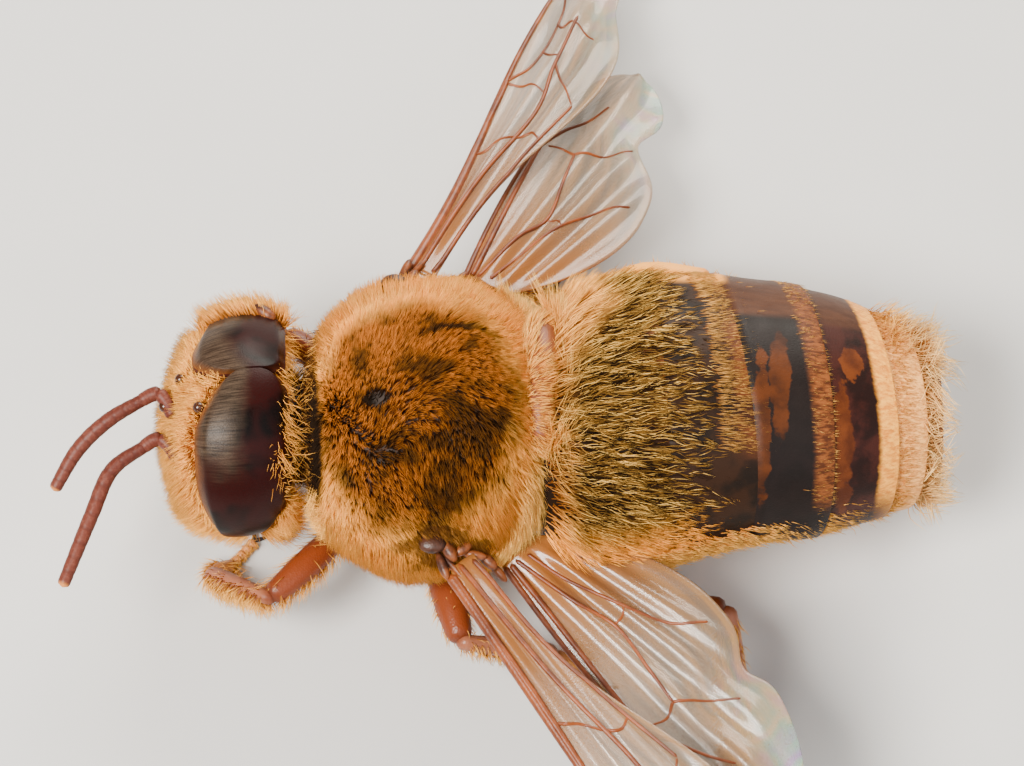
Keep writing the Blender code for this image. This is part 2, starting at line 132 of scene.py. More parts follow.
def rounded_tube(points, radii, flat=1.0, reference=(0.0, 0.0, 1.0), ripple=None):
    """path + radius * (cos * side + flat * sin * up).  Within one radius of either end the
    radius follows a quarter circle, so the ends are round.  ripple changes it by u."""
    table = smooth_curve(np.column_stack([points, radii]), 90)
    path, radius = table[:, :3], table[:, 3]
    steps = np.linalg.norm(np.diff(path, axis=0), axis=1)
    place = np.concatenate([[0.0], np.cumsum(steps)])
    share = place / place[-1]
    for distance in (place, place[-1] - place):
        near = np.clip(distance / (0.8 * table[:, 3]), 0.0, 1.0)
        radius = radius * np.sqrt(1.0 - (1.0 - near) ** 2 + 1e-4)
    along = unit(np.gradient(path, axis=0))
    side = unit(np.cross(along, reference))
    up = np.cross(side, along)

    def surface(u, v):
        spot, right, over = (np.stack([np.interp(u, share, rows[:, k]) for k in range(3)], -1)
                             for rows in (path, side, up))
        size = np.interp(u, share, radius) * (ripple(u) if ripple else 1.0)
        angle = (2 * math.pi * v)[..., None]
        return spot + size[..., None] * (np.cos(angle) * right + flat * np.sin(angle) * over)

    return surface


def ball(centre, half, matrix=None):
    """An ellipsoid with its poles on X: (-cos a, sin a cos b, sin a sin b) * half sizes."""
    def surface(u, v):
        a, b = math.pi * u, 2 * math.pi * v
        shape = np.stack([-np.cos(a), np.sin(a) * np.cos(b), np.sin(a) * np.sin(b)], -1) * half
        return (shape if matrix is None else shape @ matrix.T) + centre
    return surface


print("a curve through 3 points:", smooth_curve([[0, 0], [1, 1], [2, 0]], 5).round(2).tolist())

# %% [markdown]
# ## Writing a mesh
#
# Blender keeps a mesh as flat lists of coordinates, corners and faces.  `foreach_set` fills each
# list from an array in one step, which matters with more than a million triangles.  Points can
# carry numbers of their own, which the hairs use for the share along them and for their tint.

# %% Mesh writer
def write_mesh(name, points, faces, uvs, material, uv_name="UVMap", values=None):
    """One object from whole arrays: points in mm, blocks of faces and of their corners' UVs."""
    mesh = bpy.data.meshes.new(name)
    corners = np.concatenate([block.ravel() for block in faces]).astype(np.int32)
    sizes = np.concatenate([np.full(len(block), block.shape[1]) for block in faces])
    mesh.vertices.add(len(points))
    mesh.vertices.foreach_set("co", ((points + ORIGIN) * MM).astype(np.float32).ravel())
    mesh.loops.add(len(corners))
    mesh.loops.foreach_set("vertex_index", corners)
    mesh.polygons.add(len(sizes))
    mesh.polygons.foreach_set("loop_start", (np.cumsum(sizes) - sizes).astype(np.int32))
    mesh.update(calc_edges=True)
    layer = mesh.uv_layers.new(name=uv_name)
    layer.data.foreach_set("uv", np.concatenate([uv.ravel() for uv in uvs]).astype(np.float32))
    for key, numbers in (values or {}).items():
        attribute = mesh.attributes.new(key, "FLOAT", "POINT")
        attribute.data.foreach_set("value", numbers.astype(np.float32))
    mesh.shade_smooth()
    mesh.materials.append(material)
    piece = bpy.data.objects.new(name, mesh)
    bpy.context.scene.collection.objects.link(piece)
    return piece


print("mesh writer ready")

# %% [markdown]
# ## From surfaces to meshes
#
# `grid_of` reads a surface at rows along it and columns round it.  `shell` turns one or more
# such grids into one mesh: it joins the last column to the first, closes each end with a fan,
# and turns the faces outwards by the sign of the enclosed volume.  A UV map records the share
# along and the share around, so a material can tell where on the shell it is.

# %% Grids and shells
def grid_of(surface, rows, columns):
    """Rows are closer together near the two ends, where the shape turns fastest."""
    u = (1 - np.cos(np.linspace(0.0, math.pi, rows))) / 2
    v = np.linspace(0.0, 1.0, columns, endpoint=False)
    return surface(*np.meshgrid(u, v, indexing="ij"))


def grid_faces(grid):
    """Points, quads round the grid, fans over its ends, and the UVs of both."""
    rows, columns = grid.shape[:2]
    points = np.vstack([grid.reshape(-1, 3), grid[0].mean(0), grid[-1].mean(0)])
    i, j = (index.ravel() for index in np.meshgrid(np.arange(rows - 1), np.arange(columns),
                                                   indexing="ij"))
    row = np.stack([i, i, i + 1, i + 1], -1)
    column = np.stack([j, j + 1, j + 1, j], -1)
    quads = row * columns + column % columns
    quad_uv = np.stack([row / (rows - 1), column / columns], -1)
    here = np.arange(columns)
    after = here + 1
    middle = np.full(columns, rows * columns)
    last = (rows - 1) * columns
    fans = np.vstack([np.stack([middle, after % columns, here], -1),
                      np.stack([middle + 1, last + here, last + after % columns], -1)])
    fan_column = np.vstack([np.stack([here + 0.5, after, here], -1),
                            np.stack([here + 0.5, here, after], -1)]) / columns
    fan_uv = np.stack([np.repeat([[0.0], [1.0]], columns, 0) + 0 * fan_column, fan_column], -1)
    volume = sum(np.einsum("ij,ij->i", points[block[:, 0]],
                           np.cross(points[block[:, k]], points[block[:, k + 1]])).sum()
                 for block in (quads, fans) for k in range(1, block.shape[1] - 1))
    if volume < 0:
        quads, fans, quad_uv, fan_uv = (block[:, ::-1] for block in (quads, fans, quad_uv, fan_uv))
    return points, quads, fans, quad_uv, fan_uv


def settle(piece, replaced=()):
    """Rides on the bee's one body and stands for its solids, which it hides."""
    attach(piece, "root")
    if replaced:
        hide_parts(*replaced)
    triangles = sum(len(face.vertices) - 2 for face in piece.data.polygons)
    print(f"{piece.name}: {triangles} triangles")
    return piece


def shell(name, grids, material, replaced=()):
    """One piece from one or more grids, each closed by its own end fans."""
    parts = [grid_faces(np.asarray(grid)) for grid in grids]
    starts = np.cumsum([0] + [len(part[0]) for part in parts[:-1]])
    points = np.vstack([part[0] for part in parts])
    quads = np.vstack([part[1] + start for part, start in zip(parts, starts)])
    fans = np.vstack([part[2] + start for part, start in zip(parts, starts)])
    uvs = [np.vstack([part[k] for part in parts]) for k in (3, 4)]
    return settle(write_mesh(name, points, [quads, fans], uvs, material), replaced)


print("mesh tools ready")

# %% [markdown]
# ## Shader maths in plain Python
#
# Writing node trees by hand hides the idea behind them.  The class below wraps one output
# socket, so `1 - mask * 0.5` adds the Math nodes by itself.  Vectors go through Vector Math and
# colours through Mix.  `node` adds any other node: its type, its settings, and the values or
# links of its sockets.

# %% The shader helper
class Wire:
    """One output socket of a material, with arithmetic."""

    def __init__(self, tree, socket):
        self.tree = tree
        self.socket = socket

    def node(self, kind, settings=None, inputs=None, output=0):
        """A new node.  Settings come first, ramp stops among them, then socket values."""
        node = self.tree.nodes.new("ShaderNode" + kind)
        for key, value in (settings or {}).items():
            if key == "stops":
                while len(node.color_ramp.elements) < len(value):
                    node.color_ramp.elements.new(1.0)
                for element, (place, colour) in zip(node.color_ramp.elements, value):
                    element.position = place
                    element.color = (*colour, 1.0)
            else:
                setattr(node, key, value)
        for key, value in (inputs or {}).items():
            if isinstance(value, Wire):
                self.tree.links.new(value.socket, node.inputs[key])
            else:
                node.inputs[key].default_value = value
        return Wire(self.tree, node.outputs[output])

    def math(self, operation, *values):
        """A Math node on numbers or wires."""
        return self.node("Math", {"operation": operation}, dict(enumerate(values)))

    def __add__(self, other):
        return self.math("ADD", self, other)

    def __sub__(self, other):
        return self.math("SUBTRACT", self, other)

    def __rsub__(self, other):
        return self.math("SUBTRACT", other, self)

    def __mul__(self, other):
        return self.math("MULTIPLY", self, other)

    def __truediv__(self, other):
        return self.math("DIVIDE", self, other)

    def __rtruediv__(self, other):
        return self.math("DIVIDE", other, self)

    def __pow__(self, other):
        return self.math("POWER", self, other)

    def __abs__(self):
        return self.math("ABSOLUTE", self)

    __radd__ = __add__
    __rmul__ = __mul__

    def rise(self, low, high):
        """0 below low and 1 above high, smooth in between.  A high below low falls instead."""
        falls = high < low
        ends = {1: min(low, high), 2: max(low, high), 3: float(falls), 4: float(not falls)}
        return self.node("MapRange", {"interpolation_type": "SMOOTHSTEP"}, {0: self, **ends})

    def blend(self, first, second):
        """The first colour where this is 0, the second where it is 1."""
        first, second = (value if isinstance(value, Wire) else (*value, 1.0)
                         for value in (first, second))
        return self.node("Mix", {"data_type": "RGBA"}, {0: self, 6: first, 7: second}, 2)

    def stretch(self, x, y, z):
        """The vector with its three parts multiplied."""
        return self.node("VectorMath", {"operation": "MULTIPLY"}, {0: self, 1: (x, y, z)})

    def axis(self, number):
        """One part of a vector: 0 for x, 1 for y, 2 for z."""
        return self.node("SeparateXYZ", None, {0: self}, number)

    def noise(self, scale, detail=3.0, roughness=0.55, distortion=0.0):
        """Cloudy noise between 0 and 1, scale in features per millimetre."""
        return self.node("TexNoise", None, {"Vector": self, "Scale": scale, "Detail": detail,
                                            "Roughness": roughness, "Distortion": distortion})

    def cells(self, scale):
        """Distance to the middle of the nearest cell, scale in cells per millimetre."""
        return self.node("TexVoronoi", {"feature": "F1"}, {"Vector": self, "Scale": scale})


print("shader helper ready")

# %% [markdown]
# ## A material and its place
#
# Every material starts in the same way: a Principled shader with a few constants, and the place
# of each point in millimetres.  Object coordinates give that place, so a pattern keeps to the
# bee and runs on from one piece to the next.

# %% Material tools
def new_material(name, **constants):
    """A Principled material with its constants, and its place in mm from ORIGIN."""
    material = bpy.data.materials.new(name)
    material.use_nodes = True
    tree = material.node_tree
    for key, value in constants.items():
        socket = tree.nodes["Principled BSDF"].inputs[key.replace("_", " ")]
        socket.default_value = (*value, 1.0) if isinstance(value, tuple) else value
    place = Wire(tree, tree.nodes.new("ShaderNodeTexCoord").outputs["Object"])
    shift = tuple(float(-value) for value in ORIGIN)
    place = place.node("VectorMath", {"operation": "MULTIPLY_ADD"},
                       {0: place, 1: (1 / MM,) * 3, 2: shift})
    return material, place


def read_uv(wire, name):
    """The u and v of a UV map."""
    uv = wire.node("UVMap", {"uv_map": name})
    return uv.axis(0), uv.axis(1)


def read_value(wire, name):
    """A number that the mesh stores at its points."""
    return wire.node("Attribute", {"attribute_name": name}, None, 2)


def connect(material, colour=None, roughness=None, alpha=None, bump=None):
    """Links wires to the shader.  bump is (height wire, depth in mm, strength)."""
    tree = material.node_tree
    shader = tree.nodes["Principled BSDF"]
    if bump:
        height, depth, strength = bump
        bump = height.node("Bump", None, {"Height": height, "Distance": depth * MM,
                                          "Strength": strength})
    for key, wire in (("Base Color", colour), ("Roughness", roughness), ("Alpha", alpha),
                      ("Normal", bump)):
        if wire:
            tree.links.new(wire.socket, shader.inputs[key])
    return material


print("material tools ready")

# %% [markdown]
# ## The body's surfaces
#
# Each function below repeats the shape of a solid, but `depth` mm further in, so that the coat
# has room between the skin and the solid's face.  They take u along the body and v around it.
# The same functions later give the roots of the hairs.

# %% Body surfaces
HEAD_CENTRE = np.array([-5.52, 0.10, 3.35])
HEAD_MATRIX = turn(0, -9.0) @ turn(2, 9.0) @ turn(1, 6.0)
HEAD_TALL = 0.97
HEAD_FRONT, HEAD_LENGTH = -1.62, 2.54
HEAD_PROFILE = ((-1.62, 0.45), (-1.50, 0.92), (-1.28, 1.38), (-1.0, 1.74), (-0.6, 2.03),
                (0.0, 2.18), (0.40, 2.20), (0.66, 2.14), (0.82, 1.95), (0.92, 1.5))


def on_head(points):
    """From the head's own axes to the bee's: turned, then moved to the head's centre."""
    return np.asarray(points) @ HEAD_MATRIX.T + HEAD_CENTRE


def chest(depth):
    """An egg: (-cos a, s cos b, s sin b (1 - 0.1 cos a)) times its halves, with s a power of
    sin(a): 0.60, and down to 0.42 at the fuller right shoulder."""
    def surface(u, v):
        a, b = math.pi * u, 2 * math.pi * v
        shoulder = smooth(1.4 * np.cos(a)) * np.maximum(np.cos(b), 0.0)
        s = np.sin(a) ** (0.60 - 0.18 * shoulder)
        shape = np.stack([-np.cos(a), s * np.cos(b), s * np.sin(b) * (1 - 0.10 * np.cos(a))], -1)
        return shape * (THORAX_HALF - depth) + THORAX_CENTRE
    return surface


def face(depth):
    """The head turned round its own X axis, a little less tall than wide.  The muzzle leans
    to the left, and behind the right eye the head swells to a corner."""
    def surface(u, v):
        x = HEAD_FRONT + depth + (HEAD_LENGTH - 2 * depth) * u
        radius = look_up(HEAD_PROFILE, HEAD_FRONT + HEAD_LENGTH * u) - depth
        angle = 2 * math.pi * v
        sine = np.sin(angle)
        swell = smooth(np.cos(angle), 0.4, 0.9) * smooth(x, 0.0, 0.7)
        radius = radius + 0.16 * swell
        z = radius * HEAD_TALL * sine - 0.05 * radius * (sine < 0) * sine ** 2
        y = radius * np.cos(angle) - 0.14 * smooth(-x, 0.3, 1.3)
        return on_head(np.stack([x + 0.26 * swell, y, z], -1))
    return surface


print("the head's profile has", len(HEAD_PROFILE), "rows, the thorax is", 2 * THORAX_HALF, "mm")

# %% [markdown]
# ## The abdomen's surfaces
#
# The abdomen is one oval tube whose half width comes from a table.  Its rings part along rims,
# each skewed to one side and bowed to the tail along the back.  `belly` is the smooth tube that
# the hairs stand on, and `plate` is one ring of hard shell.

# %% Abdomen surfaces
ABDOMEN_START, ABDOMEN_END = 0.62, 8.88
WIDTH_AT = ((0.62, 2.70), (1.10, 3.04), (1.7, 3.18), (2.7, 3.20), (4.9, 2.76), (6.1, 2.56),
            (7.2, 2.18), (7.9, 1.93), (8.45, 1.68), (8.88, 1.00))
RIMS = ((2.75, 0.20), (4.38, 0.44), (5.88, 0.28), (7.20, 0.28), (7.86, 0.18))
RIM_BULGE = 0.30
TUCK, STEP = 0.35, 0.05
HEIGHT_OVER_WIDTH = 0.84


def rim(number, y, z):
    """Rear rim of a ring, skewed to one side and bowed to the tail along the back."""
    if number < 0:
        return ABDOMEN_START + 0 * y
    if number >= len(RIMS):
        return ABDOMEN_END + 0 * y
    place, skew = RIMS[number]
    return place - skew * y + RIM_BULGE * z


def oval(x, half, y, z):
    """A point of the abdomen's cross-section at x, whose axis swings right and droops."""
    middle_y = 0.40 * smooth(x, 0.2, 4.2) + 0.02 * (x - 4.0)
    middle_z = 3.50 - 0.035 * np.maximum(x - 4.0, 0.0) ** 2
    return np.stack([x, middle_y + half * y, middle_z + half * HEIGHT_OVER_WIDTH * z], -1)


def belly(depth, first=-1, last=5):
    """The abdomen between two rims, as one smooth surface."""
    def surface(u, v):
        y, z = np.cos(2 * math.pi * v), np.sin(2 * math.pi * v)
        x = rim(first, y, z) + (rim(last, y, z) - rim(first, y, z)) * u
        return oval(x, look_up(WIDTH_AT, x) - depth, y, z)
    return surface


def plate(number, depth):
    """One ring of shell: its front is tucked under the ring before, its rear edge stands
    proud by a small step and is rounded over.  The last ring stops short of the coat's tips."""
    def surface(u, v):
        y, z = np.cos(2 * math.pi * v), np.sin(2 * math.pi * v)
        front = rim(number - 1, y, z) - (TUCK if number else 0.0)
        back = rim(number, y, z) - (0.30 if number == 5 else 0.0)
        x = front + (back - front) * np.minimum(u * 1.02, 1.0)
        half = look_up(WIDTH_AT, x) - depth - STEP + STEP * 1.6 * smooth(u, 0.25, 0.92)
        half = half - 0.16 * (1 - smooth(u, 0.0, 0.22)) - 0.35 * smooth(u, 0.975, 1.0) ** 2
        return oval(x, half, y, z)
    return surface


print("widest ring of the abdomen:", 2 * look_up(WIDTH_AT, 2.7), "mm")

# %% [markdown]
# ## The eyes' surfaces
#
# The compound eyes of a drone are two bands that run from the crown, where they meet, down to
# the cheeks.  Each is worked out in polar form round the head's long axis: s runs down the
# band, t across it, and the radius falls off to both edges, which makes the eye bulge.

# %% Eye surfaces
EYE_TOP, EYE_END = math.radians(0.5), math.radians(117.0)
EYE_RADIUS, EYE_HALF_WIDTH, LENS_DEPTH = 2.34, 0.95, 0.5


def eye_outline(s, side):
    """Middle and half width of an eye's band at s, from -1 at the crown to 1 at the cheek.
    The half width is EYE_HALF_WIDTH (1 - |s|^p)^q.  The left eye narrows to the crown, where
    it meets the right one, which is blunt there, narrower below and further back."""
    s = s * 0.995
    cheek = np.maximum(1 - np.maximum(s, 0.0) ** 1.8, 0.0) ** 0.85
    if side < 0:
        crown = np.maximum(1 - np.maximum(-s, 0.0) ** 3.2, 0.0) ** 0.32
        middle = -0.05 + 0.24 * smooth(-s, 0.4, 1.0) - 0.07 * smooth(s, 0.3, 0.9)
    else:
        crown = np.maximum(1 - np.maximum(-s, 0.0) ** 8, 0.0) ** 0.25
        crown = crown * (1 - 0.15 * smooth(s, -0.8, -0.1))
        cheek = cheek * 0.85
        middle = 0.05 + 0.12 * smooth(-s, 0.8, 1.0) + 0.28 * smooth(s, -0.8, 0.0)
    return middle, EYE_HALF_WIDTH * np.where(s < 0, crown, cheek)


def eye_shape(side):
    """A compound eye: a band round the head from crown to cheek.  Its radius falls off to the
    front and the rear edge with the square of the share across, and a little more at the very
    edge.  Each row is one closed loop, out over the lens and back under it."""
    def surface(u, v):
        s = 2 * u - 1
        loop = np.where(v < 0.5, 4 * v - 1, 3 - 4 * v)
        t = np.sin(loop * math.pi / 2)
        inner = LENS_DEPTH * np.maximum(np.cos(loop * math.pi / 2), 0.0) ** 0.5
        under = np.where(v < 0.5, 0.0, inner)
        middle, width = eye_outline(s, side)
        angle = (EYE_TOP + EYE_END) / 2 + (EYE_END - EYE_TOP) / 2 * s
        x = middle + width * t
        bow = 0.34 * (t * width / 1.02) ** 2
        radius = EYE_RADIUS - bow - under - 0.16 * smooth(s, 0.55, 1.0)
        radius = radius - 0.16 * smooth(np.abs(t), 0.80, 1.0)
        y = side * radius * np.sin(angle)
        return on_head(np.stack([x, y, radius * np.cos(angle) * HEAD_TALL], -1))
    return surface


print("eye bands reach", EYE_RADIUS, "mm from the head's axis")

# %% [markdown]
# ## Markings shared by skin and coat
#
# A hair has the colour of the patch it grows on, so each marking is a function that both the
# skin's and the coat's materials call.  On the thorax a dark ochre disc covers the back and
# fades to cream on the sides, in front and below, and painted shade lays black round the neck
# and along the crease behind the disc.  The abdomen changes from ring to ring.

# %% Markings
DISC_CENTRE, DISC_HALF = (-1.84, -0.42), (2.15, 2.40)
CREASE_CENTRE, CREASE_RADIUS = (-0.92, -0.10), 1.27
BARE_SPOT = (-2.61, -0.31)
CREAM = (1.0, 0.37, 0.028)
PALE_GOLD = (1.0, 0.47, 0.065)
BLACK_HAIR_AND_SHADE = (0.014, 0.007, 0.003)


def oval_distance(place, centre, half):
    """Distance from the middle of an oval seen from above: 1 on its edge."""
    x, y = ((place.axis(k) - centre[k]) / half[k] for k in (0, 1))
    return (x * x + y * y) ** 0.5


def disc_mask(place):
    """1 on the dark disc of the back: an oval seen from above, with a ragged edge."""
    far = oval_distance(place, DISC_CENTRE, DISC_HALF) + (place.noise(1.3) - 0.5) * 0.34
    return far.rise(1.08, 0.78) * place.axis(2).rise(3.9, 4.6)


def neck_shade_mask(place):
    """1 on the shaded front of the thorax, round the neck."""
    x = place.axis(0) + 4.08
    y = (place.axis(1) + 0.60) / 1.60
    z = (place.axis(2) - 4.2) / 1.6
    far = (x * x * 3.0 + y * y + z * z) ** 0.5 + (place.noise(3.0) - 0.5) * 0.25
    return far.rise(1.10, 0.80)


def blot(place, centre, half, ragged=0.5, scale=2.0):
    """1 inside an oval seen from above, whose edge a noise makes ragged."""
    far = oval_distance(place, centre, half)
    far = far + (place.noise(scale, 4.0, 0.65) - 0.5) * ragged * 3.0
    return far.rise(1.10, 0.90) * place.axis(2).rise(3.6, 3.9)


def crease_shade_mask(place):
    """1 along the crease that rounds the rear right of the disc, part of a circle, where shade is
    painted.
    """
    x, y = (place.axis(k) - CREASE_CENTRE[k] for k in (0, 1))
    far = (x * x + y * y) ** 0.5 + (place.noise(1.6) - 0.5) * 0.4
    broken = place.noise(1.9).rise(0.35, 0.55)
    return abs(far - CREASE_RADIUS).rise(0.13, 0.03) * (x * 0.6 + y).rise(0.2, 1.0) * broken


def chest_colour(place, tip, dark):
    """Ochre disc with darker wisps, one bare spot, and cream elsewhere; black at the neck is dark
    fur and painted shade together, and black along the crease behind the disc is painted shade.
    tip is 0 at the root of a hair and 1 at its point."""
    wisps = place.noise(1.5, 4.0, 0.6) + blot(place, (-0.95, -1.45), (1.5, 0.9), 0.6) * 0.10
    # Painted shade: the crease darkens the wisps.
    wisps = (wisps + crease_shade_mask(place) * 0.2).rise(0.44, 0.64)
    deep = wisps.blend((0.070, 0.020, 0.003), (0.013, 0.005, 0.002))
    bright = wisps.blend((0.56, 0.165, 0.009), (0.15, 0.052, 0.005))
    ochre = tip.rise(0.30, 1.0).blend(deep, bright)
    bald = blot(place, BARE_SPOT, (0.25, 0.15), 0.6, 4.0)
    # Black on the bare spot, and black painted shade along the crease.
    ochre = (bald + crease_shade_mask(place) * 0.6).rise(0.1, 0.9).blend(ochre, BLACK_HAIR_AND_SHADE)
    cream = tip.rise(0.0, 0.8).blend((0.66, 0.25, 0.030), CREAM)
    cream = (place.noise(0.8).rise(0.35, 0.7) * tip).blend(cream, PALE_GOLD)
    mixed = disc_mask(place).blend(cream, ochre)
    # Black round the neck: painted shade over the neck's dark fur.
    mixed = neck_shade_mask(place).blend(mixed, BLACK_HAIR_AND_SHADE)
    hinge = blot(place, (-1.25, -2.85), (0.85, 0.28), 0.7)
    mixed = (hinge * 0.75).blend(mixed, (0.10, 0.030, 0.006))
    return dark.blend(mixed, BLACK_HAIR_AND_SHADE)


print("markings ready")

# %% [markdown]
# ## Materials of the shell
#
# Insect shell is a clear varnish over dark pigment: a low roughness, a thin coat layer, and a
# fine bump of pits that breaks up the highlight.

# %% Shell materials
def cuticle(name, light, dark, scale, roughness):
    """Shell that varies between two colours in soft clouds, scale of them per millimetre."""
    material, place = new_material(name, Coat_Weight=0.08, Coat_Roughness=0.2,
                                   Specular_IOR_Level=0.3)
    clouds = place.noise(scale, 4.0, 0.6)
    pits = place.cells(26.0)
    colour = clouds.rise(0.36, 0.64).blend(light, dark)
    return connect(material, colour, roughness + 0.18 * clouds, bump=(pits, 0.012, 0.35))


def skin_material():
    """Skin under the thorax coat, with the coat's own markings and painted shade, much darker."""
    material, place = new_material("skin_chest", Roughness=0.75)
    zero = place.axis(0) * 0.0
    colour = (place.noise(5.0) * 0.3 + 0.55).blend(chest_colour(place, zero, zero),
                                                  (0.02, 0.01, 0.005))
    return connect(material, colour, bump=(place.noise(12.0), 0.04, 0.5))


def head_material():
    """Cream skin of the face with reddish cheeks behind the eyes."""
    material, place = new_material("skin_head", Roughness=0.6)
    colour = place.noise(2.2).rise(0.35, 0.7).blend((0.60, 0.22, 0.035), (0.36, 0.11, 0.02))
    return connect(material, colour, bump=(place.noise(14.0), 0.03, 0.5))


print("shell and skin materials ready")

# %% [markdown]
# ## Colours of the rings
#
# No two rings look alike.  The front two are dark under their coat, the third is black and the
# fourth brown, each with two orange patches and a band of its own, the fifth is cream and the
# last amber under its hair.  Every ring but the last is paler along its rear rim, and all are
# tan underneath.

# %% Ring materials
RIM_EDGE = (0.80, 0.50, 0.22)


def ring_colour(place, along, number):
    """Colours of one ring of the abdomen, by the share along it from front to rear rim."""
    streaks = place.stretch(0.5, 3.0, 3.0).noise(2.4, 3.0)
    ribs = place.stretch(0.4, 7.0, 7.0).noise(2.6, 2.0)
    wobble = along + (streaks - 0.5) * 0.05
    right = place.axis(1)
    if number < 2:
        clouds = place.noise(1.4, 3.0)
        dark = clouds.rise(0.42, 0.6).blend((0.022, 0.009, 0.004), (0.009, 0.005, 0.003))
        warm = clouds.rise(0.44, 0.56).blend((0.12, 0.032, 0.008), (0.035, 0.010, 0.004))
        base = (wobble.rise(0.60, 0.78) * right.rise(-1.6, -0.4)).blend(dark, warm)
        return wobble.rise(0.955, 0.968).blend(base, RIM_EDGE)
    tan = streaks.rise(0.2, 0.8).blend((0.072, 0.026, 0.011), (0.042, 0.014, 0.006))
    if number == 2:
        base = (place.noise(3.0) * 0.8).blend((0.006, 0.0045, 0.004), (0.014, 0.008, 0.007))
        orange = place.noise(2.0).rise(0.3, 0.7).blend((0.075, 0.020, 0.005), (0.026, 0.008, 0.003))
        base = blot(place, (5.20, 0.10), (0.21, 1.05), 0.6, 1.6).blend(base, orange)
        base = blot(place, (4.84, -0.75), (0.16, 1.35), 0.7, 2.0).blend(base, orange)
        base = right.rise(1.55, 1.75).blend(base, tan)
        band = (ribs * 0.6 + streaks * 0.4).rise(0.38, 0.60).blend((0.20, 0.060, 0.015),
                                                                  (0.060, 0.017, 0.006))
        base = (wobble.rise(0.64, 0.72) * right.rise(-2.0, -1.7)).blend(base, band)
        return wobble.rise(0.955, 0.968).blend(base, RIM_EDGE)
    if number == 3:
        base = place.noise(1.5, 4.0).rise(0.40, 0.60).blend((0.038, 0.010, 0.007),
                                                            (0.013, 0.005, 0.004))
        orange = place.noise(2.0).rise(0.3, 0.7).blend((0.12, 0.030, 0.007), (0.055, 0.013, 0.004))
        base = blot(place, (6.42, -0.80), (0.24, 1.15), 0.6, 1.8).blend(base, orange)
        base = blot(place, (6.66, 0.65), (0.22, 0.38), 0.8, 2.4).blend(base, orange)
        base = right.rise(1.45, 1.75).blend(base, tan)
        band = (ribs * 0.6 + streaks * 0.4).rise(0.35, 0.65).blend((1.0, 0.44, 0.060),
                                                                  (0.66, 0.21, 0.022))
        lit = right.rise(-1.75, -1.35)
        base = (wobble.rise(0.64, 0.70) * lit).blend(base, band)
        return (wobble.rise(0.955, 0.97) * lit).blend(base, (1.0, 0.66, 0.30))
    if number == 5:
        return streaks.rise(0.2, 0.8).blend((0.26, 0.085, 0.018), (0.10, 0.030, 0.008))
    pale_ribs = ribs.rise(0.36, 0.64).blend((0.96, 0.46, 0.13), (0.62, 0.25, 0.06))
    base = wobble.rise(0.10, 0.45).blend((0.50, 0.16, 0.030), pale_ribs)
    return wobble.rise(0.90, 0.97).blend(base, (0.96, 0.62, 0.26))


def ring_material(number):
    """Glossy plates on the back, and a paler, duller underside."""
    material, place = new_material(f"ring_{number + 1}", Specular_IOR_Level=0.12)
    along = read_uv(place, "UVMap")[0]
    top = ring_colour(place, along, number)
    side = place.axis(2).rise(2.6, 2.0)
    colour = side.blend(top, (0.50, 0.18, 0.035))
    edge = place.axis(1).rise(2.45, 2.75) * place.axis(0).rise(4.35, 4.1)
    colour = edge.blend(colour, (0.95, 0.38, 0.05))
    grain = place.stretch(1.0, 2.2, 2.2).noise(20.0, 2.0)
    roughness = 0.36 + 0.22 * place.noise(2.0)
    return connect(material, colour, roughness, bump=(grain, 0.010, 0.5))


print("ring materials ready")

# %% [markdown]
# ## Lenses and hard shell
#
# A compound eye is thousands of tiny lenses, here a fine honeycomb that breaks up the highlight.
# A grey bloom on the front of the crown is partly fine hairs and partly a painted sheen.  Two
# plain shells serve the small hard parts.

# %% Lens and shell materials
def eye_material():
    """Black and wine red lenses in a fine honeycomb, with a streaked grey bloom on the front
    half of the crown, partly fine hairs and partly a painted sheen.  v from 0 to 0.5 runs from the
    front edge to the rear edge."""
    material, place = new_material("lens", Specular_IOR_Level=0.10)
    along, around = read_uv(place, "UVMap")
    clouds = place.noise(0.9, 2.0, 0.5, 0.6)
    colour = clouds.rise(0.44, 0.58).blend((0.0014, 0.0008, 0.0007), (0.017, 0.0022, 0.0018))
    front = around * 2.0 + (place.noise(1.1) - 0.5) * 0.30
    streaks = along.node("CombineXYZ", None, {0: along * 150.0, 1: around * 9.0}).noise(1.0, 2.0)
    # Painted sheen, partly fine hairs: the grey bloom on the front half of the crown.
    bloom = front.rise(0.56, 0.36) * (along + clouds * 0.3).rise(0.72, 0.52)
    grey = streaks.rise(0.25, 0.75).blend((0.014, 0.009, 0.006), (0.078, 0.052, 0.034))
    colour = (bloom * 0.85).blend(colour, grey)
    colour = front.rise(0.20, 0.02).blend(colour, (0.150, 0.050, 0.012))
    colour = (front.rise(0.80, 1.0) * 0.7).blend(colour, (0.070, 0.020, 0.012))
    lens = place.cells(34.0)
    colour = (lens.rise(0.3, 0.9) * 0.3).blend(colour, (0.008, 0.003, 0.002))
    return connect(material, colour, 0.26 + 0.18 * lens, bump=(1.0 - lens, 0.006, 0.35))


dark_shell = cuticle("dark_shell", (0.055, 0.017, 0.007), (0.012, 0.005, 0.004), 2.2, 0.36)
jaw_shell = cuticle("jaw_shell", (0.19, 0.050, 0.011), (0.035, 0.010, 0.005), 3.0, 0.36)
print(len(bpy.data.materials), "materials so far")

# %% [markdown]
# ## Skins and shell plates
#
# One skin covers the thorax and its neck, another the head.  The rings of the abdomen overlap
# like roof tiles, each tucked under the one before it.

# %% Skins, plates and eyes
COAT_DEPTH = {"chest": 0.40, "face": 0.24}
RING_DEPTH = (0.34, 0.20, 0.05, 0.04, 0.08, 0.30)

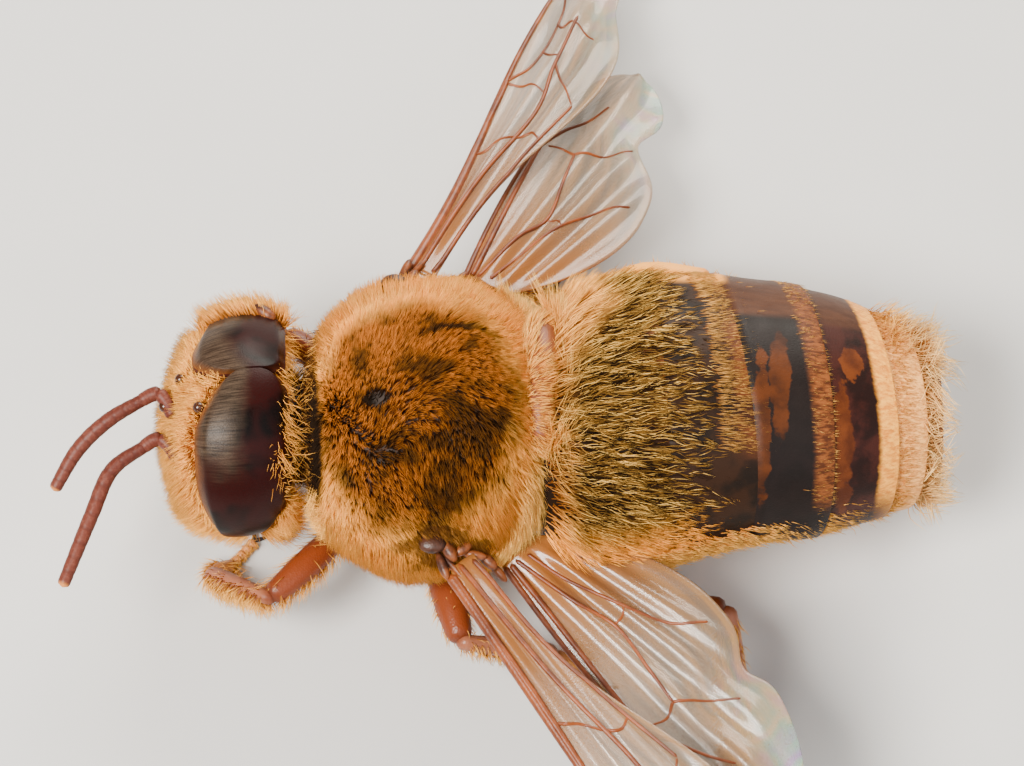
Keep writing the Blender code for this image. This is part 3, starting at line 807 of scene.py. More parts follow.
neck = rounded_tube([on_head((0.40, 0.0, 0.1)), (-4.1, 0.0, 3.6), (-3.2, 0.0, 3.65)],
                    [0.95, 0.90, 0.95])
shell("skin_thorax", [grid_of(chest(COAT_DEPTH["chest"]), 60, 72), grid_of(neck, 14, 32)],
      skin_material(), ("thorax", "neck"))
shell("skin_head", [grid_of(face(COAT_DEPTH["face"]), 48, 72)], head_material(),
      ("head",))
RING_SLOTS = ("coat_ochre", "coat_ochre", "shell_dark", "shell_dark", "shell_amber", "coat_pale")
RING_NODES = ("abdomen_1", "abdomen_2", "abdomen_3", "abdomen_4", "abdomen_5", "tail")
for number, (node, finish, depth) in enumerate(zip(RING_NODES, RING_SLOTS, RING_DEPTH)):
    grid = grid_of(plate(number, depth), 44, 96)
    shell("plate_" + node, [grid], ring_material(number), (node,))

lens = eye_material()
for side, name in ((-1, "left"), (1, "right")):
    shell("lens_" + name, [grid_of(eye_shape(side), 72, 84)], lens, ("eye_" + name,))

# %% [markdown]
# ## Simple eyes
#
# Three simple eyes sit on the forehead as glossy beads, half sunk in the fur.

# %% Simple eyes
bead, bead_place = new_material("bead", Specular_IOR_Level=0.4)
bead_clouds = bead_place.noise(4.0)
connect(bead, bead_clouds.blend((0.022, 0.007, 0.004), (0.060, 0.020, 0.010)),
        0.08 + 0.1 * bead_clouds)
for node, y, z, proud in (("ocellus_middle", 0.0, 1.05, 0.16), ("ocellus_left", -0.50, 1.74, 0.10),
                          ("ocellus_right", 0.40, 1.36, 0.0)):
    radius = math.hypot(y, z)
    front = np.interp(radius, [row[1] for row in HEAD_PROFILE[:6]],
                      [row[0] for row in HEAD_PROFILE[:6]])
    bead_ball = ball(on_head((front + 0.16 - proud, y, z)), np.full(3, 0.125))
    shell(node + "_bead", [grid_of(bead_ball, 12, 20)], bead, (node,))

# %% [markdown]
# ## Crescent, hinges and mouth
#
# The crescent behind the thorax is the scutellum, bare amber shell.  A small knob marks the right
# temple.  Dark caps and knobs cover the hinges of the wings, and jaws and tongue hang below the
# face.

# %% Crescent, hinges and mouth
crescent = ball(np.array([0.58, 0.35, 5.02]), np.array([0.50, 1.50, 0.66]))
horn = cuticle("crescent_shell", (0.22, 0.060, 0.012), (0.15, 0.036, 0.007), 1.6, 0.40)
shell("crescent", [grid_of(crescent, 36, 48)], horn, ("scutellum",))
temple = ball(np.array([-4.92, 2.10, 4.56]), np.array([0.26, 0.13, 0.12]), turn(2, -35))
shell("temple", [grid_of(temple, 16, 24)], jaw_shell)

for side, name in ((-1, "left"), (1, "right")):
    root = np.array(WING_ROOTS[name])
    cap = ball(root + (-0.30, -0.10 * side, 0.34), np.array([0.27, 0.20, 0.13]))
    knobs = [ball(root + (x, y * side, z), np.array(size), turn(2, tilt * side))
             for x, y, z, size, tilt in ((0.02, 0.00, 0.24, (0.26, 0.13, 0.13), 60),
                                         (0.30, -0.06, 0.16, (0.22, 0.11, 0.11), -40),
                                         (-0.10, 0.26, 0.08, (0.30, 0.10, 0.10), 70),
                                         (0.12, 0.30, 0.04, (0.34, 0.07, 0.09), 50),
                                         (0.52, 0.02, 0.02, (0.24, 0.10, 0.11), 10),
                                         (0.78, 0.10, -0.12, (0.22, 0.12, 0.11), 45),
                                         (0.98, 0.26, -0.34, (0.24, 0.09, 0.10), 50))]
    shell("cap_" + name, [grid_of(cap, 20, 28)], dark_shell, ("tegula_" + name,))
    shell("hinge_" + name, [grid_of(knob, 14, 20) for knob in knobs], jaw_shell)
    jaw = rounded_tube(on_head([(-0.38, 0.78 * side, -1.45), (-0.50, 0.72 * side, -2.08),
                                (-0.72, 0.50 * side, -2.40), (-0.85, 0.20 * side, -2.48)]),
                       [0.30, 0.27, 0.25, 0.13], flat=0.7)
    shell("jaw_" + name, [grid_of(jaw, 18, 20)], jaw_shell, ("mandible_" + name,))
tongue = rounded_tube(on_head([(-0.35, 0.0, -1.60), (-0.20, 0.0, -2.30), (0.15, 0.0, -2.60),
                               (0.85, 0.0, -2.48)]), [0.30, 0.30, 0.26, 0.16], flat=0.6)
shell("tongue", [grid_of(tongue, 20, 20)], jaw_shell, ("proboscis",))

# %% [markdown]
# ## Feelers
#
# A drone's feeler has a short stalk, a small elbow joint and eleven even joints after it.  The
# joints are one tube whose radius dips at every seam: the ripple is a sharp cosine of the share
# along the tube.

# %% Feelers
ANTENNA = {
    "left": ((-6.56, -0.88, 4.12), (-6.92, -0.36, 4.18), (-7.88, -1.07, 4.05),
             (-8.26, -1.97, 3.90), (-8.78, -3.38, 3.72)),
    "right": ((-6.64, -0.15, 4.54), (-6.92, 0.42, 4.62), (-7.94, -0.18, 4.48),
              (-8.54, -0.73, 4.28), (-9.00, -1.50, 4.05)),
}
JOINTS = 11


def joint_ripple(u):
    """1 on each joint and a small dip at each seam between two joints."""
    seam = np.abs(np.cos(math.pi * JOINTS * np.clip(u, 0.0, 1.0)))
    return 1.0 - 0.03 * smooth(seam, 0.88, 1.0) * ((u > 0.04) & (u < 0.96))


def feeler_material():
    """Dark rose brown joints under a faint bloom of down, orange at the very tip."""
    material, place = new_material("feeler", Specular_IOR_Level=0.22)
    along = read_uv(place, "UVMap")[0]
    down = place.noise(16.0, 2.0)
    wave = along * float(JOINTS) * math.pi
    seams = abs(wave.math("COSINE", wave))
    colour = along.rise(0.02, 0.60).blend((0.070, 0.013, 0.007), (0.105, 0.024, 0.014))
    colour = (down.rise(0.45, 0.75) * 0.30).blend(colour, (0.23, 0.080, 0.052))
    colour = (seams.rise(0.88, 0.99) * 0.45).blend(colour, (0.060, 0.013, 0.008))
    colour = along.rise(0.965, 0.995).blend(colour, (0.62, 0.22, 0.05))
    return connect(material, colour, 0.40 + 0.15 * down, bump=(down, 0.010, 0.5))


feeler = feeler_material()
for name, places in ANTENNA.items():
    socket, elbow, near, far, tip = (np.array(place) for place in places)
    heading = unit(near - elbow)
    stalk = rounded_tube([socket, (socket + elbow) / 2, elbow + heading * 0.06],
                         [0.16, 0.135, 0.15])
    knee = rounded_tube([elbow * 0.9 + socket * 0.1, elbow + heading * 0.22,
                         elbow + heading * 0.50], [0.15, 0.145, 0.135])
    lash = rounded_tube([elbow + heading * 0.34, near, far, tip], [0.125, 0.150, 0.150, 0.125],
                        ripple=joint_ripple)
    shell("stalk_" + name, [grid_of(stalk, 18, 20)], feeler, ("scape_" + name,))
    shell("elbow_" + name, [grid_of(knee, 16, 20)], feeler, ("pedicel_" + name,))
    u, v = np.meshgrid(np.linspace(0, 1, 133), np.linspace(0, 1, 20, endpoint=False),
                       indexing="ij")
    shell("lash_" + name, [lash(u, v)], feeler, ("flagellum_" + name,))

# %% [markdown]
# ## Wings
#
# A wing is a membrane thinner than paper, stiffened by a net of raised veins and by pleats that
# run along it.  Its outline is two humps, one for each margin: a sine up to the widest place
# and an ellipse down to the tip.  A point on the wing is named by mm along it from the root and
# mm across it, so that one list of veins serves both sides of the bee.

# %% Wing shapes
WINGS = {
    "forewing_left": (WING_ROOTS["left"], (0.585, -0.81, 0.04), 16, 0.0, ()),
    "hindwing_left": ((-0.14, -2.60, 3.70), (0.72, -0.694, -0.01), 4, 0.0,
                      ((0.66, 0.35, 0.06),)),
    "forewing_right": (WING_ROOTS["right"], (0.385, 0.857, -0.334), 16, 0.3,
                       ((0.82, 0.50, 0.10),)),
    "hindwing_right": ((-0.84, 2.96, 3.70), (0.47, 0.80, -0.35), 4, 0.2,
                       ((0.75, 0.60, 0.085),)),
}
# Length, then front and rear margin: depth, place of the widest point, rise and fall.
MARGINS = {
    "forewing_left": (11.4, (0.62, 0.66, 1.5, 2.4), (1.60, 0.66, 4.2, 1.8), 0.28, 0.40),
    "hindwing_left": (7.6, (0.90, 0.66, 1.0, 3.0), (2.06, 0.46, 0.8, 1.5), 0.25, 0.35),
    "forewing_right": (11.4, (0.78, 0.75, 3.0, 2.4), (1.52, 0.64, 4.2, 1.8), 0.24, 0.40),
    "hindwing_right": (7.5, (0.90, 0.66, 1.0, 3.0), (2.06, 0.46, 0.8, 1.4), 0.25, 0.35),
}
# Each vein: radius at its root, then (along, across) in mm.
VEINS = {
    "forewing": (
        (0.085, ((0.3, -0.24), (3.0, -0.30), (5.6, -0.48), (6.4, -0.56))),
        (0.060, ((0.3, 0.06), (2.2, 0.12), (3.6, 0.20), (5.7, 0.42), (7.1, 0.26), (8.6, 0.20))),
        (0.055, ((0.4, 0.32), (2.2, 0.48), (3.9, 0.66), (6.0, 1.10))),
        (0.040, ((4.0, -0.34), (4.3, 0.0), (4.7, 0.30))),
        (0.040, ((4.7, 0.30), (4.9, 0.60), (4.8, 0.82))),
        (0.040, ((6.4, -0.54), (7.1, -0.22), (8.6, -0.22), (9.5, -0.48))),
        (0.035, ((6.3, -0.50), (6.3, -0.05), (6.2, 0.38))),
        (0.035, ((7.5, -0.20), (7.3, 0.05), (7.4, 0.26))),
        (0.035, ((7.1, 0.26), (6.6, 0.62), (6.0, 1.08))),
        (0.035, ((8.4, -0.22), (8.2, 0.0), (8.4, 0.22), (8.0, 0.80))),
    ),
    "hindwing": (
        (0.070, ((0.3, -0.14), (1.3, -0.30), (3.3, -0.62), (4.6, -0.78), (5.8, -0.74))),
        (0.045, ((4.5, -0.76), (5.3, -0.45), (6.2, -0.05))),
        (0.050, ((0.3, -0.02), (1.7, 0.14), (2.65, 0.36), (3.7, 0.16), (4.5, 0.0))),
        (0.035, ((4.5, 0.0), (4.62, -0.30), (4.5, -0.62))),
        (0.035, ((4.5, 0.0), (4.9, 0.45), (5.4, 0.95))),
        (0.045, ((0.4, 0.22), (1.3, 0.38), (2.5, 0.74), (3.4, 1.15), (3.9, 1.65))),
        (0.030, ((2.6, 0.36), (2.62, 0.58), (2.5, 0.74))),
    ),
}


print(len(WINGS), "wings,", sum(len(lines) for lines in VEINS.values()), "veins to a side")

# %% [markdown]
# ## The surface of a wing
#
# The wing is a flat frame of two directions, along and across, with a third above it.  Height is
# added from a low arch, from pleats that fan out of the root and from a fine ripple.

# %% Wing surface
FILM_HALF = 0.016


def hump(t, peak, rise, fall):
    """0 at both ends and 1 at the peak: a sine rise and an elliptic fall."""
    climb = np.sin(math.pi / 2 * np.clip(t / peak, 0, 1)) ** rise
    drop = np.maximum(1.0 - np.clip((t - peak) / (1 - peak), 0, 1) ** fall, 0.0) ** 0.5
    return np.where(t < peak, climb, drop)


class Wing:
    """The middle surface of one wing, with its margins, pleats and veins."""

    def __init__(self, name, root, along, pitch, lift, notches):
        self.length, self.front, self.back, self.front_root, self.back_root = MARGINS[name]
        self.root = np.array(root)
        self.lift, self.notches = lift, notches
        self.along = unit(along)
        across = unit(np.cross(self.along, (0, 0, 1)))
        across = across * np.sign(across[0])
        above = np.cross(across, self.along)
        above = above * np.sign(above[2])
        angle = math.radians(pitch)
        self.across = math.cos(angle) * across + math.sin(angle) * above
        self.above = math.cos(angle) * above - math.sin(angle) * across

    def margins(self, t):
        """Front and rear margin in mm at the share t of the length."""
        lead = -self.front_root - (self.front[0] - self.front_root) * hump(t, *self.front[1:])
        lead = np.where(t > self.front[1], -self.front[0] * hump(t, *self.front[1:]), lead)
        trail = self.back_root + (self.back[0] - self.back_root) * hump(t, *self.back[1:])
        trail = np.where(t > self.back[1], self.back[0] * hump(t, *self.back[1:]), trail)
        for place, depth, spread in self.notches:
            trail = trail - depth * np.exp(-((t - place) / spread) ** 2)
        return lead, trail

    def at(self, along, across, above=0.0):
        """The point of the wing at mm along and across.  Pleats fan out from the root."""
        t = np.clip(along / self.length, 0.0, 1.0)
        lead, trail = self.margins(t)
        b = np.clip((across - lead) / np.maximum(trail - lead, 0.05), 0.0, 1.0)
        pleat = 0.085 * np.sin(across / (0.26 + 0.5 * t) * 4.6 + 1.1 * t) * smooth(t, 0.0, 0.2)
        ripple = 0.045 * np.sin(3.1 * along + 2.4 * across) * smooth(t, 0.35, 0.8)
        height = 0.10 * np.sin(math.pi * b) + (pleat + ripple) * np.sin(math.pi * b) + above
        point = (self.root + along[..., None] * self.along + across[..., None] * self.across
                 + height[..., None] * self.above)
        point[..., 2] += self.lift * t ** 2
        return point

    def membrane(self):
        """A closed loop for every row: over the wing and back under it."""
        t = 1.0 - (1.0 - np.linspace(0.02, 0.99, 120)) ** 1.35
        lead, trail = self.margins(t)
        b = np.linspace(0.0, 1.0, 44)
        loop = np.concatenate([b, b[::-1]])
        lift = np.concatenate([b * 0 + FILM_HALF, b * 0 - FILM_HALF])
        across = lead[:, None] + (trail - lead)[:, None] * loop[None, :]
        along = (t * self.length)[:, None] + 0 * across
        return self.at(along, across, lift[None, :] + 0 * across)

    def vein(self, radius, points):
        """A tube on the membrane through points, thinner towards its end."""
        line = smooth_curve(points, 40)
        t = line[:, 0] / self.length
        lead, trail = self.margins(t)
        line[:, 1] = np.clip(line[:, 1], lead + 0.05, trail - 0.04)
        path = self.at(line[:, 0], line[:, 1], 0.3 * radius)
        return rounded_tube(path, np.linspace(radius, radius * 0.6, 40))

    def edge(self, radius=0.115, end=0.86):
        """The thick costal vein, just inside the front margin."""
        t = np.linspace(0.03, end, 40)
        path = self.at(t * self.length, self.margins(t)[0] + radius * 0.6, 0.0 * t)
        return rounded_tube(path, np.linspace(radius, radius * 0.4, 40))


for name, margin in MARGINS.items():
    print(name, margin[0], "mm long")

# %% [markdown]
# ## Wing materials
#
# The membrane is clear, with a warm tint that gathers in the pleats and a pink and green film
# towards its outer edge.  The film's colour is a painted reflection that drifts with a slow noise,
# because a true thin film is lost when a model is exported.

# %% Wings
def membrane_material():
    """Clear film: opacity and tint follow lengthwise streaks and fine hairs."""
    material, place = new_material("membrane", IOR=1.4, Coat_Weight=0.4, Coat_Roughness=0.12)
    along, around = read_uv(place, "UVMap")
    across = 1.0 - abs(around * 2.0 - 1.0)
    grain = along.node("CombineXYZ", None, {0: along * 2.2, 1: across * 13.0})
    streaks = grain.noise(1.0, 3.0, 0.55, 0.4)
    hairs = place.noise(26.0, 1.0)
    tint = streaks.rise(0.35, 0.62).blend((0.36, 0.20, 0.085), (0.17, 0.125, 0.085))
    film = place.noise(1.1, 2.0, 0.5, 1.2)
    # Painted reflection: the pink and green of a thin film, towards the outer edge.
    film_reflection = film.node("ValToRGB", {"stops": ((0.30, (0.52, 0.27, 0.40)),
                                               (0.42, (0.60, 0.50, 0.30)),
                                               (0.54, (0.26, 0.50, 0.38)),
                                               (0.68, (0.36, 0.26, 0.52)))}, {0: film})
    outer = along.rise(0.40, 0.90) * across.rise(0.40, 0.85) * 0.70
    tint = outer.blend(tint, film_reflection)
    tint = (hairs.rise(0.60, 0.72) * 0.5).blend(tint, (0.20, 0.10, 0.035))
    root = along.rise(0.45, 0.04)
    alpha = 0.36 + 0.34 * streaks + 0.15 * hairs.rise(0.60, 0.70) + 0.34 * root
    return connect(material, root.blend(tint, (0.27, 0.095, 0.020)), 0.14 + 0.2 * streaks, alpha,
                   (hairs, 0.012, 0.5))


membrane = membrane_material()
vein_shell = cuticle("vein_shell", (0.22, 0.050, 0.010), (0.095, 0.020, 0.005), 1.4, 0.30)
for name, setting in WINGS.items():
    wing = Wing(name, *setting)
    kind = name.split("_")[0]
    shell("film_" + name, [wing.membrane()], membrane, (name,))
    tubes = [wing.edge(*((0.125, 0.86) if kind == "forewing" else (0.07, 0.90)))]
    tubes += [wing.vein(radius, points) for radius, points in VEINS[kind]]
    shell("veins_" + name, [grid_of(tube, 60, 8) for tube in tubes], vein_shell)

# %% [markdown]
# ## Legs
#
# Each leg is a chain: a swollen thigh, a shin that widens downwards, one long first foot joint,
# four small ones, and a pair of claws.  The foot lies along the floor.  The thighs are chestnut,
# and the right hind one has a lit copy of their shell in pale gold: a painted highlight.

# %% Legs
LEGS = {
    "leg_front_left": ((-3.25, -1.30, 1.75), (-4.12, -2.40, 2.20), (-4.84, -3.14, 2.35),
                       (-6.14, -2.19, 0.95), (-5.35, -1.15, 0.2), (0.38, 0.30, 0.34, 0.27)),
    "leg_front_right": ((-3.25, 1.30, 1.75), (-4.00, 2.10, 2.15), (-4.70, 2.60, 2.30),
                        (-5.90, 2.60, 0.95), (-6.60, 2.45, 0.2), (0.38, 0.30, 0.34, 0.27)),
    "leg_middle_left": ((-1.60, -1.60, 1.40), (-1.25, -3.05, 2.05), (-1.00, -4.03, 2.25),
                        (0.86, -3.85, 0.90), (1.85, -4.35, 0.2), (0.42, 0.32, 0.36, 0.27)),
    "leg_middle_right": ((-1.60, 1.60, 1.40), (-1.30, 2.95, 2.05), (-1.00, 3.80, 2.25),
                         (0.40, 4.20, 0.90), (0.90, 4.50, 0.2), (0.42, 0.32, 0.36, 0.27)),
    "leg_hind_left": ((0.20, -1.60, 1.40), (2.40, -3.20, 2.20), (4.26, -3.50, 2.65),
                      (4.50, -5.60, 0.95), (4.10, -7.00, 0.2), (0.44, 0.34, 0.46, 0.36)),
    "leg_hind_right": ((0.20, 1.80, 1.40), (2.30, 3.72, 2.12), (4.12, 3.66, 2.60),
                       (4.90, 3.75, 0.95), (5.50, 4.20, 0.2), (0.44, 0.33, 0.44, 0.34)),
}
TOE_RADIUS = 0.11


def leg_parts(hip, thigh, knee, ankle, toe, thick):
    """Surfaces of one leg: thigh, shin, the five foot joints and two claws."""
    hip, thigh, knee, ankle, toe = (np.array(place) for place in (hip, thigh, knee, ankle, toe))
    thigh_radius, knee_radius, shin_radius, foot_radius = (size - 0.08 for size in thick)
    down = unit(ankle - knee)
    femur = rounded_tube([hip, thigh, knee], [thigh_radius * 0.8, thigh_radius, knee_radius])
    tibia = rounded_tube([knee - down * 0.10, (knee + ankle) / 2, ankle + down * 0.02],
                         [knee_radius * 0.8, (knee_radius + shin_radius) / 2, shin_radius],
                         0.8, (0.3, 1.0, 0.2))
    start = ankle + down * 0.02
    heel = start + (toe - start) * 0.50
    heel[2] = TOE_RADIUS * 1.7
    end = toe * (1, 1, 0) + (0, 0, TOE_RADIUS)
    first = rounded_tube([start, (start + heel) / 2, heel],
                         [foot_radius * 0.75, foot_radius * 0.95, foot_radius * 0.55], 0.7)
    joints = []
    spread = smooth_curve([heel, (heel + end) / 2 * (1, 1, 0) + (0, 0, TOE_RADIUS * 1.1), end], 5)
    for near, far in zip(spread[:-1], spread[1:]):
        step = far - near
        joints.append(rounded_tube([near - step * 0.15, near + step * 0.6, far + step * 0.05],
                                   [TOE_RADIUS * 0.6, TOE_RADIUS * 0.95, TOE_RADIUS * 1.05]))
    heading = unit((end - heel) * (1, 1, 0))
    sideways = np.cross(heading, (0, 0, 1))
    claws = [rounded_tube([end, end + heading * 0.16 + sideways * turned * 0.12,
                           end + heading * 0.24 + sideways * turned * 0.14 - (0, 0, 0.06)],
                          [0.05, 0.04, 0.018]) for turned in (-1, 1)]
    return femur, tibia, first, joints, claws


def leg_material(name, light, dark):
    """Amber shell, darker towards the joints."""
    material, place = new_material(name, Specular_IOR_Level=0.3)
    along = read_uv(place, "UVMap")[0]
    clouds = place.noise(1.8, 3.0)
    ends = abs(along * 2.0 - 1.0) + (clouds - 0.5) * 0.5
    colour = ends.rise(0.55, 1.0).blend(light, dark)
    return connect(material, colour, 0.30 + 0.2 * clouds, bump=(place.cells(24.0), 0.012, 0.4))


LEG_SURFACES = {name: leg_parts(*places) for name, places in LEGS.items()}
thigh_shell = leg_material("thigh_shell", (0.17, 0.032, 0.007), (0.075, 0.014, 0.004))
# Painted highlight: a lit copy of the thigh shell, pale gold, for the right hind thigh.
lit_thigh_shell = leg_material("lit_thigh_shell", (1.0, 0.42, 0.060), (0.70, 0.20, 0.020))
shin_shell = leg_material("shin_shell", (0.30, 0.105, 0.052), (0.14, 0.032, 0.012))
foot_shell = leg_material("foot_shell", (0.50, 0.19, 0.050), (0.26, 0.070, 0.015))
for name, (femur, tibia, first, joints, claws) in LEG_SURFACES.items():
    # The right hind thigh gets the lit copy: a painted highlight.
    thigh_finish = lit_thigh_shell if name == "leg_hind_right" else thigh_shell
    shell(name + "_thigh", [grid_of(femur, 26, 24)], thigh_finish,
          (name + "_femur",))
    shell(name + "_shin", [grid_of(tibia, 24, 24)], shin_shell,
          (name + "_tibia",))
    shell(name + "_toes", [grid_of(first, 20, 20)] + [grid_of(joint, 14, 14) for joint in joints],
          foot_shell, (name + "_foot",))
    shell(name + "_claws", [grid_of(claw, 12, 10) for claw in claws], dark_shell)

# %% [markdown]
# ## How a coat is made
#
# Hair as particles is lost when a model is exported, so every hair here is a real sliver of
# mesh: a three-sided spike that tapers to a point.  For each one we choose a root on the skin,
# a direction and a bend.
#
# * The root's chance is the area of skin around it times a density that we choose.
# * The direction starts along the lie of the coat, stands up by the rise, and is shaken.
# * Roots near one another bend their tips together, which makes the small clumps of real fur.
#
# Each spike keeps the u and v of its root in the map `OFBake`, spread over a tiny patch.

# %% Where hairs grow
TRIES = 6


def slopes(surface, u, v):
    """Points, outward normals and the area of skin per unit of u and v, by small steps."""
    step = 1e-3
    u = np.clip(u, 2 * step, 1 - 2 * step)
    points = surface(u, v)
    du = (surface(u + step, v) - surface(u - step, v)) / (2 * step)
    dv = (surface(u, v + step) - surface(u, v - step)) / (2 * step)
    normal = np.cross(du, dv)
    area = np.linalg.norm(normal, axis=-1)
    normal = unit(normal)
    outward = np.sign(np.einsum("ij,ij->i", normal, points - points.mean(0)).sum())
    return points, normal * outward, area


def nearest(points, centres):
    """Index of the nearest centre to each point, a block of points at a time."""
    found = np.empty(len(points), dtype=int)
    squares = (centres ** 2).sum(1)
    for start in range(0, len(points), 4096):
        block = points[start:start + 4096]
        found[start:start + 4096] = np.argmin(squares - 2 * block @ centres.T, axis=1)
    return found


def strands(surface, count, length, lay, seed, density=None, window=(0.0, 1.0, 0.0, 1.0),
            rise=0.5, shake=0.2, fall=0.1, curl=0.0, clump=0.4, per_clump=6, radius=0.012,
            rings=2):
    """Points (count, rings + 1, 3), roots' uv and a random tint.  The path of a hair is
    root + length * (s * heading + fall * s^2 * lie + curl * sin wave), and clump pulls it to
    the path of the hair at its clump's centre by clump * s^1.3.  No hair dips into the floor."""
    rng = np.random.default_rng(seed)
    u = window[0] + (window[1] - window[0]) * rng.random(count * TRIES)
    v = window[2] + (window[3] - window[2]) * rng.random(count * TRIES)
    points, normals, weight = slopes(surface, u, v)
    if density is not None:
        weight = weight * density(points, u, v)
    chosen = rng.choice(len(u), count, replace=False, p=weight / weight.sum())
    points, normals, u, v = points[chosen], normals[chosen], u[chosen], v[chosen]
    if callable(length):
        length = length(points)
    size = length * rng.uniform(0.72, 1.0, count)
    lift = rise(points) if callable(rise) else rise
    lift = np.broadcast_to(lift, count)[:, None]
    lie = lay(points)
    lie = unit(lie - np.einsum("ij,ij->i", lie, normals)[:, None] * normals)
    heading = unit(lie * np.cos(lift) + normals * np.sin(lift) + rng.normal(0, shake, (count, 3)))
    s = np.linspace(0.0, 1.0, rings + 1)[None, :, None]
    wave = unit(np.cross(heading, normals))[:, None, :]
    phase = rng.uniform(0, 2 * math.pi, count)[:, None, None]
    swing = np.sin(5.0 * s + phase) - np.sin(phase)
    lean = (fall * lie + rng.normal(0, 0.35 * curl, (count, 3)))[:, None, :]
    paths = s * heading[:, None, :] + s ** 2 * lean + curl * 0.35 * swing * wave
    paths = paths * size[:, None, None]
    if clump:
        centres = rng.choice(count, max(count // per_clump, 1), replace=False)
        mate = centres[nearest(points, points[centres])]
        goal = points[mate][:, None, :] + paths[mate] - points[:, None, :]
        paths = paths + (goal - paths) * clump * s ** 1.3
    paths = points[:, None, :] + paths - 0.03 * normals[:, None, :]
    paths[..., 2] = np.maximum(paths[..., 2], 0.03 - ORIGIN[2])
    return paths, np.stack([u, v], -1), normals, rng.random(count), radius


print("each hair's root is one of", TRIES, "places")

# %% [markdown]
# ## Hairs as one mesh
#
# All the hairs of a piece become one mesh.  Three corners stand round each point of a hair's
# path except the last, which is its tip, and a fourth face closes the root.

# %% Hair mesh
def coat(name, groups, material):
    """One piece from groups of strands: three-sided spikes with a closed base."""
    points, quads, ends, quad_uv, end_uv, tips, tints = [], [], [], [], [], [], []
    start = 0
    for paths, roots, normals, tint, radius in groups:
        count, steps = paths.shape[:2]
        along = unit(np.gradient(paths, axis=1))
        side = unit(np.cross(along, normals[:, None, :]))
        up = np.cross(side, along)
        thin = radius * (1.0 - 0.75 * np.linspace(0, 1, steps)[:-1])[None, :, None, None]
        turns = np.arange(3) * 2 * math.pi / 3 + math.pi / 2
        circle = (np.cos(turns)[:, None] * side[:, :-1, None, :]
                  + np.sin(turns)[:, None] * up[:, :-1, None, :])
        body = paths[:, :-1, None, :] + thin * circle
        block = 3 * (steps - 1) + 1
        points.append(np.concatenate([body.reshape(count, -1, 3), paths[:, -1:]], 1).reshape(-1, 3))
        share = np.linspace(0, 1, steps)
        tips.append(np.tile(np.append(np.repeat(share[:-1], 3), 1.0), count))
        tints.append(np.repeat(tint, block))
        base = start + np.arange(count)[:, None, None] * block
        k, j = (index.ravel() for index in np.meshgrid(np.arange(steps - 2), np.arange(3),
                                                       indexing="ij"))
        after = (j + 1) % 3
        quad = np.stack([3 * k + j, 3 * k + after, 3 * k + 3 + after, 3 * k + 3 + j], -1)
        top = 3 * (steps - 2)
        end = np.array([[top, top + 1, block - 1], [top + 1, top + 2, block - 1],
                        [top + 2, top, block - 1], [0, 2, 1]])
        quads.append((base + quad).reshape(-1, 4))
        ends.append((base + end).reshape(-1, 3))
        patch = 0.003 * np.stack([np.append(np.repeat(share[:-1], 3), 1.0),
                                  np.append(np.tile([0.0, 0.5, 1.0], steps - 1), 0.5)], -1)
        spot = (np.clip(roots, 0.0, 0.997)[:, None, :] + patch).reshape(-1, 2)
        quad_uv.append(spot[quads[-1] - start])
        end_uv.append(spot[ends[-1] - start])
        start += count * block
    piece = write_mesh(name, np.vstack(points), [np.vstack(quads), np.vstack(ends)],
                       [np.vstack(quad_uv), np.vstack(end_uv)], material, "OFBake",
                       {"tip": np.concatenate(tips), "tint": np.concatenate(tints)})
    return settle(piece)


print("a hair of two rings has", 3 * 2 + 1, "corners and", 6 + 4, "triangles")

# %% [markdown]
# ## Colour of a hair
#
# A hair changes along its length and from one hair to the next.  The mesh stores both numbers,
# `tip` and `tint`, and each coat brings its own function of place, tip and tint.

# %% Hair materials
def hair_material(name, colouring):
    """Hair with a marking by place, share along the hair and a little chance per hair."""
    material, place = new_material(name, Specular_IOR_Level=0.06)
    tip = read_value(place, "tip")
    tint = read_value(place, "tint")
    colour = colouring(place, tip, tint)
    shade = (tint * 0.6 + place.noise(3.0) * 0.4).rise(0.15, 0.95)
    lighter = colour.node("HueSaturation", None, {"Color": colour, "Value": 1.18,
                                                  "Saturation": 0.96, "Hue": 0.502})
    darker = colour.node("HueSaturation", None, {"Color": colour, "Value": 0.74, "Hue": 0.497})
    return connect(material, shade.blend(darker, lighter), 0.7 + 0.15 * tint)


def flow(*vector):
    """The same lie of the coat everywhere."""
    vector = np.array(vector, dtype=float)
    return lambda points: np.broadcast_to(vector, points.shape)


print("coat tools ready")

# %% [markdown]
# ## Coat of the thorax
#
# The disc of the back carries short upright fur in small clumps.  The sides, the front and the
# belly carry longer cream hair that lies outwards and down.

# %% Thorax coat
WHORL = (-1.0, 0.75)


def chest_hair(place, tip, tint):
    """The chest's own markings, with a few black hairs on the disc."""
    return chest_colour(place, tip, tint.rise(0.86, 0.90) * disc_mask(place))


def oval_share(points, centre, half):
    """Distance from the middle of an oval seen from above: 1 on its edge."""
    return np.hypot(*((points[:, k] - centre[k]) / half[k] for k in (0, 1)))


def disc_share(points):
    """1 on the disc of the back, 0 on the sides."""
    edge = smooth(oval_share(points, DISC_CENTRE, DISC_HALF), 0.86, 1.04)
    return (1 - edge) * smooth(points[:, 2], 3.9, 4.5)


def disc_lay(points):
    """Fur leans to the tail and away from the middle line, in waves, and turns round one
    whorl right of the middle, where the lie is at right angles to the way to its centre."""
    x, y = points[:, 0], points[:, 1]
    from_x, from_y = x - WHORL[0], y - WHORL[1]
    whorl = 1.6 * np.exp(-(from_x ** 2 + from_y ** 2) / 0.5)
    return np.stack([0.7 + 0.6 * np.sin(1.7 * y + 0.6) + whorl * from_y,
                     0.45 * y + 0.6 * np.sin(1.9 * x) - whorl * from_x, 0 * x], -1)


